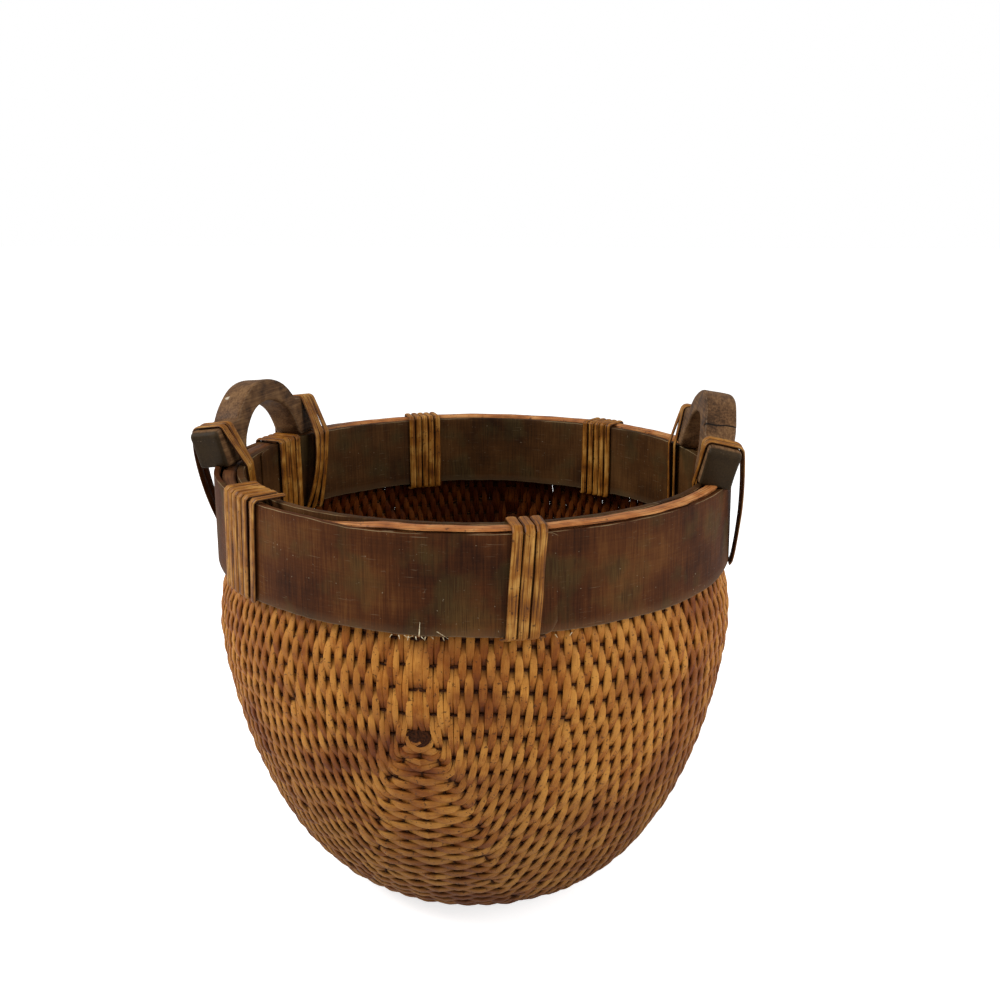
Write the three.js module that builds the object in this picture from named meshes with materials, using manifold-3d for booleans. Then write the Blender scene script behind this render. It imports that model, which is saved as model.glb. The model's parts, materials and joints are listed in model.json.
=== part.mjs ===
import * as THREE from "three";
import { mergeVertices } from "three/addons/utils/BufferGeometryUtils.js";
import Module from "manifold-3d";

const wasm = await Module();
wasm.setup();

// Rice basket: a willow body with a belly, held at its mouth between two bent wooden bands,
// with two carved handles tied on the rim. The origin is the middle of the base, +Z is up,
// +X runs through the handles' side and -Y is the front. Lengths are in millimetres.

// Rim
const rimRadius = 222;
const rimHeight = 370.7;
const outerBandThickness = 4.2;
const outerBandHeight = 73.4;
const outerBandFlare = 1.9;
const innerBandThickness = 5.5;
const innerBandHeight = 70.7;
const lapEndThickness = 1.8;
const lapTurn = 25;
const outerLapEnd = -65;
const innerLapEnd = 182;
const fillerDrop = 2.2;
const fillerHeight = 10;

// Woven body
const baseRadius = 104;
const bellyRadius = 228;
const bellyHeight = 242;
const bellyBulgeShare = 1.6;
const neckThickness = 12.1;
const wallThickness = 10;
const humpLength = 27;
const humpWidth = 30;
const humpDepth = 4.4;
const seatGap = 0.3;

// Handles
const handleThickness = 26;
const handleHalfLength = 96;
const footHeight = 33;
const footRise = 3;
const footUndercut = 7;
const footCorner = 6;
const archHeight = 62.8;
const archHalfWidth = 68;
const gripHeight = 42.5;
const gripHalfWidth = 51;
const gripFlare = 6;
const handleEdge = 4;
const leftStandInset = 15;
const rightStandInset = 24.5;

// Split cane
const caneThickness = 2.2;
const caneClearance = 0.5;
const turnGap = 1.2;
const wideCaneWidth = 7.4;
const narrowCaneWidth = 5.8;
const tieCaneWidth = 8.2;
const tieSlack = 1.2;
const strapSlant = 38;
const backTieSlant = 12;
const looseTurnGap = 3;
const caneEdgeShare = 0.72;

// Steps of the round shapes
const ringSteps = 72;
const profileSteps = 18;
const archSteps = 8;
const loopSteps = 20;
const overrun = 12;

const ringStepTurn = 360 / ringSteps;
const strandCount = 2 * Math.round((2 * Math.PI * bellyRadius) / humpWidth);
const bandSeat = rimRadius - outerBandThickness;
const neckOuter = bandSeat - seatGap;
const neckInner = neckOuter - neckThickness;
const innerBandOuter = neckInner - seatGap;
const innerBandInner = innerBandOuter - innerBandThickness;
const outerBandFoot = rimHeight - outerBandHeight;
const innerBandFoot = rimHeight - innerBandHeight;
const fillerTop = rimHeight - fillerDrop;
const fillerFoot = fillerTop - fillerHeight;
const wallTop = fillerFoot - seatGap;
const radians = THREE.MathUtils.degToRad;

const willow = new THREE.MeshStandardMaterial({ color: 0xa9713a, roughness: 0.62, metalness: 0 });
const darkWood = new THREE.MeshStandardMaterial({ color: 0x4e3424, roughness: 0.6, metalness: 0 });
const handleWood = new THREE.MeshStandardMaterial({ color: 0x4c3a28, roughness: 0.55, metalness: 0 });
const cane = new THREE.MeshStandardMaterial({ color: 0xb9854a, roughness: 0.5, metalness: 0 });

// Closed mesh of points and triangles, turned right side out.
function closedGeometry(positions, index) {
  const geometry = new THREE.BufferGeometry();
  geometry.setAttribute("position", new THREE.Float32BufferAttribute(positions, 3));
  geometry.setIndex(index);
  if (signedVolume(geometry) < 0) {
    for (let corner = 0; corner < index.length; corner += 3) {
      [index[corner + 1], index[corner + 2]] = [index[corner + 2], index[corner + 1]];
    }
    geometry.setIndex(index);
  }
  geometry.computeVertexNormals();
  return geometry;
}

// Solid swept through a list of rings of points, with both ends closed.
function sweptSolid(rings) {
  const sides = rings[0].length;
  const positions = [];
  const index = [];
  for (const ring of rings) {
    for (const point of ring) {
      positions.push(point.x, point.y, point.z);
    }
  }
  for (let step = 0; step + 1 < rings.length; step += 1) {
    for (let side = 0; side < sides; side += 1) {
      const next = (side + 1) % sides;
      const a = step * sides + side;
      const b = step * sides + next;
      index.push(a, b, a + sides, b, b + sides, a + sides);
    }
  }
  const last = (rings.length - 1) * sides;
  for (let side = 1; side + 1 < sides; side += 1) {
    index.push(0, side + 1, side, last, last + side, last + side + 1);
  }
  return closedGeometry(positions, index);
}

function signedVolume(geometry) {
  const position = geometry.attributes.position;
  const index = geometry.index;
  const a = new THREE.Vector3();
  const b = new THREE.Vector3();
  const c = new THREE.Vector3();
  let volume = 0;
  for (let corner = 0; corner < index.count; corner += 3) {
    a.fromBufferAttribute(position, index.getX(corner));
    b.fromBufferAttribute(position, index.getX(corner + 1));
    c.fromBufferAttribute(position, index.getX(corner + 2));
    volume += a.dot(b.cross(c)) / 6;
  }
  return volume;
}

function toManifold(geometry) {
  const bare = geometry.clone();
  bare.deleteAttribute("normal");
  bare.deleteAttribute("uv");
  const merged = mergeVertices(bare);
  const triangles = [];
  for (let corner = 0; corner < merged.index.count; corner += 3) {
    const a = merged.index.getX(corner);
    const b = merged.index.getX(corner + 1);
    const c = merged.index.getX(corner + 2);
    if (a !== b && b !== c && c !== a) {
      triangles.push(a, b, c);
    }
  }
  const vertProperties = new Float32Array(merged.attributes.position.array);
  const triVerts = new Uint32Array(triangles);
  return new wasm.Manifold(new wasm.Mesh({ numProp: 3, vertProperties, triVerts }));
}

function fromManifold(solid) {
  const mesh = solid.getMesh();
  const geometry = new THREE.BufferGeometry();
  geometry.setAttribute("position", new THREE.Float32BufferAttribute(mesh.vertProperties, 3));
  geometry.setIndex(Array.from(mesh.triVerts));
  geometry.computeVertexNormals();
  return geometry;
}

// Solid turned round the basket's upright axis, from a profile of radii and heights.
function turnedSolid(profile) {
  const points = profile.map(([radius, height]) => new THREE.Vector2(radius, height));
  return new THREE.LatheGeometry(points, ringSteps).rotateX(Math.PI / 2);
}

// Outer radius of the woven wall: out from the flat base to the belly, and in again to the neck.
function wallRadius(height) {
  if (height < bellyHeight) {
    const below = (1 - height / bellyHeight) ** bellyBulgeShare;
    return baseRadius + (bellyRadius - baseRadius) * Math.sqrt(1 - below);
  }
  const above = Math.min((height - bellyHeight) / (outerBandFoot - bellyHeight), 1);
  return bellyRadius - (bellyRadius - neckOuter) * above ** 2;
}

// Places up the outside of the wall, half a hump apart, from the base's edge to the bands. The
// curve's points lie close together near the base, where the wall turns fastest.
function wallPlaces() {
  const points = [];
  for (let step = 0; step <= profileSteps; step += 1) {
    const height = outerBandFoot * (step / profileSteps) ** 2;
    points.push(new THREE.Vector2(wallRadius(height), height));
  }
  const wall = new THREE.SplineCurve(points);
  return wall.getSpacedPoints(Math.round((2 * wall.getLength()) / humpLength));
}

// Stations of the woven shell's profile, from the middle of its underside out, up the outside,
// over the top and down the inside. At each, a strand lies outward or inward by turns, as rods
// swing over one cord and in under the next. The edges and the neck stay even.
function wallStations() {
  const places = wallPlaces();
  const even = (radius, height) => {
    const place = new THREE.Vector2(radius, height);
    return { row: 0, outward: place, inward: place, inside: false };
  };
  const outside = [];
  const inside = [];
  for (let row = 1; row + 1 < places.length; row += 1) {
    const along = places[row + 1].clone().sub(places[row - 1]).normalize();
    const normal = new THREE.Vector2(along.y, -along.x);
    const sunk = (depth) => places[row].clone().addScaledVector(normal, -depth);
    outside.push({ row, outward: sunk(0), inward: sunk(humpDepth), inside: false });
    inside.push({ row, outward: sunk(wallThickness - humpDepth), inward: sunk(wallThickness), inside: true });
  }
  return [
    even(baseRadius, 0),
    ...outside,
    even(neckOuter, outerBandFoot),
    even(neckOuter, wallTop),
    even(neckInner, wallTop),
    even(neckInner, outerBandFoot),
    ...inside.reverse(),
    even(baseRadius, wallThickness),
  ];
}

// The woven shell. Each face is split so that a hump stands as a low pyramid on either side.
function shellGeometry(stations) {
  const positions = [];
  const index = [];
  const leansOut = (row, strand) => (row + strand) % 2 === 0;
  for (const { row, outward, inward } of stations) {
    for (let strand = 0; strand < strandCount; strand += 1) {
      const angle = (2 * Math.PI * strand) / strandCount;
      const place = leansOut(row, strand) ? outward : inward;
      positions.push(place.x * Math.cos(angle), place.x * Math.sin(angle), place.y);
    }
  }
  const last = (stations.length - 1) * strandCount;
  const underside = stations.length * strandCount;
  positions.push(0, 0, 0, 0, 0, wallThickness);
  for (let strand = 0; strand < strandCount; strand += 1) {
    const next = (strand + 1) % strandCount;
    index.push(underside, next, strand, underside + 1, last + strand, last + next);
    for (let step = 0; step + 1 < stations.length; step += 1) {
      const a = step * strandCount + strand;
      const b = step * strandCount + next;
      const c = a + strandCount;
      const d = b + strandCount;
      if (leansOut(stations[step].row, strand) !== stations[step].inside) {
        index.push(a, b, c, b, d, c);
      } else {
        index.push(a, b, d, a, d, c);
      }
    }
  }
  return closedGeometry(positions, index);
}

function bodyGeometry(slots) {
  let body = toManifold(shellGeometry(wallStations()));
  for (const slot of slots) {
    body = body.subtract(toManifold(slot));
  }
  return fromManifold(body);
}

// One bent band: a strip that goes once round and on over its own thinned start.
// Stacked is 1 where the far end lies outside its start and -1 where it lies inside.
function bandGeometry({ seat, thickness, height, flare, lapEnd, stacked }) {
  const lapSteps = lapTurn / ringStepTurn;
  const rings = [];
  for (let step = 0; step <= ringSteps + lapSteps; step += 1) {
    const angle = radians(lapEnd - lapTurn + step * ringStepTurn);
    const under = lapEndThickness + (thickness - lapEndThickness) * Math.min(step / lapSteps, 1);
    const past = step - ringSteps;
    const beneath = lapEndThickness + ((thickness - lapEndThickness) * past) / lapSteps + seatGap;
    const near = past < 0 ? 0 : beneath;
    const far = past < 0 ? under : Math.max(thickness, near + lapEndThickness);
    const radii = [seat + stacked * near, seat + stacked * far];
    const corners = [
      [radii[0], rimHeight],
      [radii[1], rimHeight],
      [radii[1] + flare, rimHeight - height],
      [radii[0] + flare, rimHeight - height],
    ];
    const cos = Math.cos(angle);
    const sin = Math.sin(angle);
    rings.push(corners.map(([radius, z]) => new THREE.Vector3(radius * cos, radius * sin, z)));
  }
  return sweptSolid(rings);
}

// Split cane packed between the bands on the top of the wall, with a crowned upper side.
function fillerGeometry() {
  const inner = neckInner + seatGap;
  const outer = neckOuter - seatGap;
  const width = outer - inner;
  const crown = width / 4;
  return turnedSolid([
    [inner, fillerFoot],
    [outer, fillerFoot],
    [outer, fillerTop - crown],
    [outer - crown, fillerTop],
    [inner + crown, fillerTop],
    [inner, fillerTop - crown],
    [inner, fillerFoot],
  ]);
}

// Half of the handle's outline, from the top of the grip hole down, along the foot and over
// the arch to its crown. X runs along the rim and Y up from the foot's bottom.
function handleHalfOutline() {
  const points = [];
  const gripEnd = Math.PI / 15;
  for (let step = 0; step <= archSteps; step += 1) {
    const angle = Math.PI / 2 + (gripEnd - Math.PI / 2) * (step / archSteps);
    points.push([gripHalfWidth * Math.cos(angle), gripHeight * Math.sin(angle)]);
  }
  points.push([gripHalfWidth + gripFlare, 0]);
  points.push([handleHalfLength - footUndercut, 0]);
  points.push([handleHalfLength, footHeight - footCorner]);
  points.push([handleHalfLength - footCorner / 3, footHeight - footCorner / 3]);
  points.push([handleHalfLength - footCorner, footHeight]);
  const shoulder = footHeight + footRise;
  const archStart = Math.asin(shoulder / archHeight);
  for (let step = 0; step <= archSteps; step += 1) {
    const angle = archStart + (Math.PI / 2 - archStart) * (step / archSteps);
    points.push([archHalfWidth * Math.cos(angle), archHeight * Math.sin(angle)]);
  }
  return points;
}

function handleGeometry() {
  const half = handleHalfOutline();
  const mirrored = half.slice(1, -1).reverse().map(([along, up]) => [-along, up]);
  const outline = [...half, ...mirrored].map(([along, up]) => new THREE.Vector2(along, up));
  const depth = handleThickness - 2 * handleEdge;
  const geometry = new THREE.ExtrudeGeometry(new THREE.Shape(outline), {
    depth,
    bevelEnabled: true,
    bevelThickness: handleEdge,
    bevelSize: handleEdge,
    bevelOffset: -handleEdge,
    bevelSegments: 2,
  });
  geometry.translate(0, 0, -depth / 2);
  geometry.rotateX(Math.PI / 2);
  geometry.rotateZ(Math.PI / 2);
  return geometry;
}

// Where each handle stands: its angle round the rim, the radius of its middle plane at the
// rim's top and its outward lean.
const handles = {
  left: { turn: 175, standRadius: rimRadius - leftStandInset, lean: 7 },
  right: { turn: 5, standRadius: rimRadius - rightStandInset, lean: 11 },
};

// Handle in the frame of its own side: leaning outward and notched over the rim, so that it
// rests level on the bands and the outer corners of its feet hang a little beside them.
function seatedHandle({ standRadius, lean }) {
  const handle = handleGeometry();
  handle.rotateY(radians(lean));
  handle.translate(standRadius, 0, rimHeight);
  const notchRadius = rimRadius + 2 * seatGap;
  const notchTop = rimHeight + seatGap;
  const notchFoot = notchTop - footHeight;
  const notch = turnedSolid([[0, notchFoot], [notchRadius, notchFoot], [notchRadius, notchTop], [0, notchTop]]);
  return fromManifold(toManifold(handle).subtract(toManifold(notch)));
}

// Corner of a handle's foot in the plane across the rim: out along its thickness, up its height.
function footPoint(handle, out, up) {
  const lean = radians(handle.lean);
  const x = handle.standRadius + out * Math.cos(lean) + up * Math.sin(lean);
  const z = rimHeight - out * Math.sin(lean) + up * Math.cos(lean);
  return [x, z];
}

// Corners of the rim that a flat cane passes. The rim curves away under the cane's width, so
// the cane clears the outer band at its near edge and the inner band at its far edge.
function rimCorners(along, winding) {
  const half = winding.width / 2;
  const outside = (radius, height) => {
    const near = Math.max(Math.abs(along(height)) - half, 0);
    return [Math.sqrt(radius ** 2 - near ** 2), height];
  };
  const inside = (radius, height) => {
    const far = Math.abs(along(height)) + half;
    return [Math.sqrt(radius ** 2 - far ** 2), height];
  };
  const outer = rimRadius + (winding.outerLap ?? 0);
  const inner = innerBandInner - (winding.innerLap ?? 0);
  return [
    outside(outer, rimHeight),
    outside(outer + outerBandFlare, outerBandFoot),
    inside(inner, rimHeight),
    inside(inner, outerBandFoot),
  ];
}

// Corners of a foot that a tie passes, a little apart, because the ties sit loosely.
function footCorners(handle) {
  const half = handleThickness / 2 + tieSlack;
  const top = footHeight + footRise;
  return [
    footPoint(handle, half, 0),
    footPoint(handle, half, top),
    footPoint(handle, -half, top),
    footPoint(handle, -half, 0),
  ];
}

// Each winding: the turn of its own frame round the rim, the place of its first turn along the
// rim, its number of turns, the cane's width, and what it goes round besides the rim.
const widePitch = wideCaneWidth + turnGap;
const narrowPitch = narrowCaneWidth + turnGap;
const tiePitch = tieCaneWidth + turnGap;
const tiePlace = handleHalfLength - footUndercut / 2;
const lapStep = lapEndThickness + seatGap;
const gripPlace = gripHalfWidth - 2.5 * widePitch;
const gripTurn = THREE.MathUtils.radToDeg(Math.asin(gripPlace / handles.left.standRadius));
const windings = {
  rim_lashing_front: {
    turn: -70,
    start: -1.5 * widePitch,
    turns: 3,
    width: wideCaneWidth,
    outerLap: lapStep,
  },
  rim_lashing_front_left: {
    turn: -132.5,
    start: -3 * widePitch,
    turns: 5.62,
    width: wideCaneWidth,
    strayTurn: looseTurnGap,
  },
  rim_lashing_back_left: { turn: 116.7, start: -2.5 * narrowPitch, turns: 5, width: narrowCaneWidth },
  rim_lashing_back_right: { turn: 60.8, start: -2.5 * narrowPitch, turns: 5, width: narrowCaneWidth },
  rim_lashing_left: {
    turn: handles.left.turn - gripTurn,
    start: -2 * widePitch,
    turns: 4,
    width: wideCaneWidth,
    innerLap: lapStep,
  },
  handle_tie_left_back: {
    turn: handles.left.turn,
    start: -tiePlace,
    turns: 2.9,
    width: tieCaneWidth,
    handle: handles.left,
    slant: backTieSlant,
  },
  handle_tie_right_back: {
    turn: handles.right.turn,
    start: tiePlace - 2 * tiePitch - tieCaneWidth / 2,
    turns: 2,
    width: tieCaneWidth,
    handle: handles.right,
    slant: -backTieSlant / 2,
  },
  handle_tie_left_front: {
    turn: handles.left.turn,
    start: tiePlace - 2 * tiePitch - tieCaneWidth / 2,
    turns: 2,
    width: tieCaneWidth,
    handle: handles.left,
    slant: -strapSlant,
  },
  handle_tie_right_front: {
    turn: handles.right.turn,
    start: -tiePlace + tieCaneWidth / 2,
    turns: 2,
    width: tieCaneWidth,
    handle: handles.right,
    slant: strapSlant,
  },
};

// Place along the rim of a winding's cane, after so many turns and at a height.
function canePlace(winding, turned, height) {
  const top = rimHeight + footHeight;
  const down = (top - height) / (top - outerBandFoot);
  const slant = (winding.slant ?? 0) * down;
  const straying = Math.max(turned - (winding.turns - 1), 0);
  const stray = (winding.strayTurn ?? 0) * straying;
  return winding.start + (winding.width + turnGap) * turned + slant + stray;
}

// One unbroken flat cane, wound so that it lies taut round the corners that it passes. Its
// section keeps its width along the rim and its thickness square to what it lies on.
function windingRings(winding) {
  const offset = caneClearance + caneThickness / 2;
  const half = winding.width / 2;
  const flat = half * caneEdgeShare;
  const rise = caneThickness / 2;
  const section = [[-half, 0], [-flat, rise], [flat, rise], [half, 0], [flat, -rise], [-flat, -rise]];
  const samples = Math.round(winding.turns * loopSteps);
  const rings = [];
  for (let sample = 0; sample <= samples; sample += 1) {
    const turned = sample / loopSteps;
    const facing = radians(-90 + 360 * turned);
    const outX = Math.cos(facing);
    const outZ = Math.sin(facing);
    const along = (height) => canePlace(winding, turned, height);
    const corners = rimCorners(along, winding);
    if (winding.handle) {
      corners.push(...footCorners(winding.handle));
    }
    const reach = ([x, z]) => x * outX + z * outZ;
    const [x, z] = corners.reduce((best, each) => (reach(each) > reach(best) ? each : best));
    const height = z + offset * outZ;
    rings.push(section.map(([side, lift]) => new THREE.Vector3(
      x + (offset + lift) * outX,
      along(height) + side,
      height + lift * outZ,
    )));
  }
  return rings;
}

// Least distance between points of one winding that lie at least half a turn apart.
function leastGap(rings) {
  let least = Infinity;
  for (let first = 0; first < rings.length; first += 1) {
    for (let second = first + loopSteps / 2; second < rings.length; second += 1) {
      for (const a of rings[first]) {
        for (const b of rings[second]) {
          least = Math.min(least, a.distanceTo(b));
        }
      }
    }
  }
  return least;
}

// Slot through the wall, just under the bands, for a winding to pass.
function slotGeometry(winding) {
  const places = [0, winding.turns].map((turned) => canePlace(winding, turned, outerBandFoot));
  const side = winding.width / 2 + caneClearance;
  const low = Math.min(...places) - side;
  const high = Math.max(...places) + side;
  const farthest = Math.max(Math.abs(low), Math.abs(high));
  const nearEnd = Math.sqrt(innerBandInner ** 2 - farthest ** 2) - overrun;
  const farEnd = rimRadius + overrun;
  const bottom = outerBandFoot - 2 * caneClearance - caneThickness;
  const top = innerBandFoot + caneClearance;
  const geometry = new THREE.BoxGeometry(farEnd - nearEnd, high - low, top - bottom);
  geometry.translate((farEnd + nearEnd) / 2, (high + low) / 2, (top + bottom) / 2);
  geometry.rotateZ(radians(winding.turn));
  return geometry;
}

// Puts a mesh in a frame of its own, turned round the basket's axis.
function addTurned(parent, mesh, turn) {
  const frame = new THREE.Group();
  frame.rotation.z = radians(turn);
  frame.add(mesh);
  parent.add(frame);
}

function named(name, geometry, material) {
  const mesh = new THREE.Mesh(geometry, material);
  mesh.name = name;
  return mesh;
}

const basket = new THREE.Group();
const slots = Object.values(windings).map(slotGeometry);
basket.add(named("woven_body", bodyGeometry(slots), willow));
basket.add(named("outer_rim_band", bandGeometry({
  seat: bandSeat,
  thickness: outerBandThickness,
  height: outerBandHeight,
  flare: outerBandFlare,
  lapEnd: outerLapEnd,
  stacked: 1,
}), darkWood));
basket.add(named("inner_rim_band", bandGeometry({
  seat: innerBandOuter,
  thickness: innerBandThickness,
  height: innerBandHeight,
  flare: 0,
  lapEnd: innerLapEnd,
  stacked: -1,
}), darkWood));
basket.add(named("rim_filler_cane", fillerGeometry(), cane));
for (const [side, handle] of Object.entries(handles)) {
  addTurned(basket, named(`handle_${side}`, seatedHandle(handle), handleWood), handle.turn);
}
for (const [name, winding] of Object.entries(windings)) {
  const rings = windingRings(winding);
  console.log(`${name}: least gap to itself ${leastGap(rings).toFixed(2)} mm`);
  addTurned(basket, named(name, sweptSolid(rings), cane), winding.turn);
}

export default basket;
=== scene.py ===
# %% [markdown]
# Rice basket. A round willow basket with a deep belly. Its mouth is held between two bent
# wooden bands, and two carved handles are tied on the rim with split cane. The frame that is
# loaded first gives every piece its place, so nothing has to be fitted by eye.

# %% Load the frame
import json
import math
import bpy
import numpy as np
from mathutils import Matrix, Vector

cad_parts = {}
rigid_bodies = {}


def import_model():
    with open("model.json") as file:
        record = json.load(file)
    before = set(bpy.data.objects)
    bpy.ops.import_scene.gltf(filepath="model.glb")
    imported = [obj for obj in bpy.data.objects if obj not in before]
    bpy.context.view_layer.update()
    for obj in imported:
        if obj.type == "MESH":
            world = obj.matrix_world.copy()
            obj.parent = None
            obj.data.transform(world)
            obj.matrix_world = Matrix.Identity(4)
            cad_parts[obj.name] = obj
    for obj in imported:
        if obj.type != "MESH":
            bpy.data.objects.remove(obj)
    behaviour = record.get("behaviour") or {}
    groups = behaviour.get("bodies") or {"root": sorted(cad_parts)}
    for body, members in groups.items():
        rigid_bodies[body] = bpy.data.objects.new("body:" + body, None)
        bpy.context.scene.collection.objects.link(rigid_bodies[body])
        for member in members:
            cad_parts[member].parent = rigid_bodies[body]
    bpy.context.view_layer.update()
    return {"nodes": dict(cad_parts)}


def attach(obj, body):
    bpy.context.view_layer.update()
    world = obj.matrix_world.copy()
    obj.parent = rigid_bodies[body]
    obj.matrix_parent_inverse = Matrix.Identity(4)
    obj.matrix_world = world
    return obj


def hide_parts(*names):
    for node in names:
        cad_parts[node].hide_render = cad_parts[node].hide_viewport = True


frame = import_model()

MM = 0.001
chance = np.random.default_rng(41)
print("nodes in the frame:", len(frame["nodes"]))

# %% [markdown]
# Every piece is finished in the same way: it rides on the basket's one body, stands for the
# plain solids that it replaces, and takes its material.

# %% Small helpers for pieces


def deselect():
    bpy.ops.object.select_all(action="DESELECT")


def activate(piece):
    deselect()
    piece.select_set(True)
    bpy.context.view_layer.objects.active = piece
    return piece


def named(name):
    """Names the piece that an operator has just added."""
    piece = bpy.context.object
    piece.name = name
    piece.data.name = name
    return piece


def settle(piece, slot, material, *nodes):
    """Gives a piece its body, its material and the solids that it stands for. Its slot is not used."""
    piece.data.materials.clear()
    piece.data.materials.append(material)
    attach(piece, "root")
    if nodes:
        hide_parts(*nodes)
    print(piece.name, len(piece.data.polygons), "faces")


def new_mesh(name, points, faces):
    mesh = bpy.data.meshes.new(name)
    mesh.from_pydata(points.tolist(), [], faces.tolist())
    piece = bpy.data.objects.new(name, mesh)
    bpy.context.scene.collection.objects.link(piece)
    mesh.polygons.foreach_set("use_smooth", [True] * len(mesh.polygons))
    return piece


def apply_modifier(piece, kind, **settings):
    activate(piece)
    modifier = piece.modifiers.new(kind.title(), kind)
    for name, value in settings.items():
        setattr(modifier, name, value)
    bpy.ops.object.modifier_apply(modifier=modifier.name)


def points_of(piece):
    points = np.empty(len(piece.data.vertices) * 3)
    piece.data.vertices.foreach_get("co", points)
    return points.reshape(-1, 3)


def set_points(piece, points):
    piece.data.vertices.foreach_set("co", points.ravel())
    piece.data.update()


def face_outwards(piece):
    """Recalculates the normals of a closed piece, in edit mode."""
    activate(piece)
    bpy.ops.object.mode_set(mode="EDIT")
    bpy.ops.mesh.select_all(action="SELECT")
    bpy.ops.mesh.normals_make_consistent(inside=False)
    bpy.ops.object.mode_set(mode="OBJECT")


def unit(vectors):
    """The same directions, one long each."""
    return vectors / np.linalg.norm(vectors, axis=1, keepdims=True)


def run_along(points):
    """Distance from the first point to each point of a line."""
    return np.concatenate([[0], np.cumsum(np.linalg.norm(np.diff(points, axis=0), axis=1) + 1e-9)])


def resample(places, known, columns):
    """Values of each column at new places, between the places where they are known."""
    return np.stack([np.interp(places, known, columns[:, axis]) for axis in range(columns.shape[1])], 1)


def set_attribute(piece, name, values):
    """Keeps one vector of three numbers for each point of a piece, for its material."""
    attribute = piece.data.attributes.new(name, "FLOAT_VECTOR", "POINT")
    attribute.data.foreach_set("vector", np.ascontiguousarray(values, dtype=np.float32).ravel())


# %% [markdown]
# A material is a small tree of nodes. Colours are written as they look on a screen, in hex,
# and one function turns them into the linear values that a shader needs. One more function
# adds a node, sets its values and ties its links. Two short ones save what every finish
# repeats: a shader's three links, and a colour laid over another through a mask.

# %% Helpers for materials


def hue(code):
    """Linear colour from an sRGB hex value."""
    parts = [int(code[place:place + 2], 16) / 255 for place in (1, 3, 5)]
    linear = [part / 12.92 if part < 0.04045 else ((part + 0.055) / 1.055) ** 2.4 for part in parts]
    return (*linear, 1.0)


def add(tree, kind, settings=None, stops=None, **inputs):
    """Adds a node. Settings are its options, stops a ramp's colours, inputs values or links."""
    node = tree.nodes.new("ShaderNode" + kind)
    for name, value in (settings or {}).items():
        setattr(node, name, value)
    if stops:
        ramp = node.color_ramp
        while len(ramp.elements) < len(stops):
            ramp.elements.new(1.0)
        for element, (place, colour) in zip(ramp.elements, stops):
            element.position = place
            element.color = hue(colour) if isinstance(colour, str) else (colour, colour, colour, 1)
    for name, value in inputs.items():
        counted = name[0] == "i" and name[1:].isdigit()
        socket = node.inputs[int(name[1:])] if counted else node.inputs[name.replace("_", " ")]
        if isinstance(value, bpy.types.NodeSocket):
            tree.links.new(value, socket)
        else:
            socket.default_value = value
    return node


def new_material(name, roughness, **surface):
    """Starts a material and returns it with its tree and its shader."""
    material = bpy.data.materials.new(name)
    material.use_nodes = True
    tree = material.node_tree
    shader = tree.nodes["Principled BSDF"]
    shader.inputs["Roughness"].default_value = roughness
    for socket, value in surface.items():
        shader.inputs[socket.replace("_", " ")].default_value = value
    return material, tree, shader


def wire(tree, shader, colour, rough, bump):
    """Gives a shader its colour, roughness and bump from nodes."""
    tree.links.new(colour, shader.inputs["Base Color"])
    tree.links.new(rough.outputs[0], shader.inputs["Roughness"])
    tree.links.new(bump.outputs["Normal"], shader.inputs["Normal"])


def layer(tree, under, mask, stops, colour, blend="MIX"):
    """Lays one colour over another where the mask lets it show. Stops say where that is."""
    share = add(tree, "ValToRGB", Fac=mask, stops=stops).outputs["Color"]
    laid = add(tree, "MixRGB", {"blend_type": blend}, Fac=share, Color1=under, Color2=hue(colour))
    return laid.outputs["Color"]


# %% [markdown]
# The camera stands where the photographer stood: in front, a little to the right of the
# middle, and looking down into the mouth. Its place was worked out from the rim, the belly
# and the base in the photograph, which fix a pinhole camera.

# %% Camera
VIEW_TURN = math.radians(10.7)
CAMERA_BACK = 0.833042
CAMERA_HEIGHT = 0.563209
CAMERA_TILT = 0.27
CAMERA_YAW = 0.026
FOCAL_PIXELS = 960.157
FRAME_PIXELS = 1000

lens = bpy.data.cameras.new("camera")
camera = bpy.data.objects.new("camera", lens)
bpy.context.scene.collection.objects.link(camera)
lens.sensor_width = 36
lens.lens = FOCAL_PIXELS / FRAME_PIXELS * lens.sensor_width
camera.location = Matrix.Rotation(VIEW_TURN, 3, "Z") @ Vector((0, -CAMERA_BACK, CAMERA_HEIGHT))
camera.rotation_euler = (math.pi / 2 - CAMERA_TILT, 0, VIEW_TURN - CAMERA_YAW)
bpy.context.scene.camera = camera
print("camera at", tuple(round(value, 3) for value in camera.location))

# %% [markdown]
# The basket stands on a plain pale floor. The photograph has a pure white ground and soft
# even light, so the floor and the air are white to the camera, and wide lamps light the
# basket from the upper left with a weaker fill from the right.

# %% Floor and light
FLOOR_SIZE = 80.0

deselect()
bpy.ops.mesh.primitive_plane_add(size=FLOOR_SIZE, location=(0, 0, -0.0002))
floor = named("floor")
floor_material, tree, shader = new_material("white paper, matt", 0.9)
shader.inputs["Base Color"].default_value = hue("#f4f4f4")
white = add(tree, "Emission", Color=(1, 1, 1, 1), Strength=0.72)
seen = add(tree, "LightPath")
both = add(tree, "AddShader", i0=shader.outputs[0], i1=white.outputs[0])
mixed = add(tree, "MixShader", i0=seen.outputs["Is Camera Ray"], i1=shader.outputs[0], i2=both.outputs[0])
tree.links.new(mixed.outputs[0], tree.nodes["Material Output"].inputs["Surface"])
floor.data.materials.append(floor_material)

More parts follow.
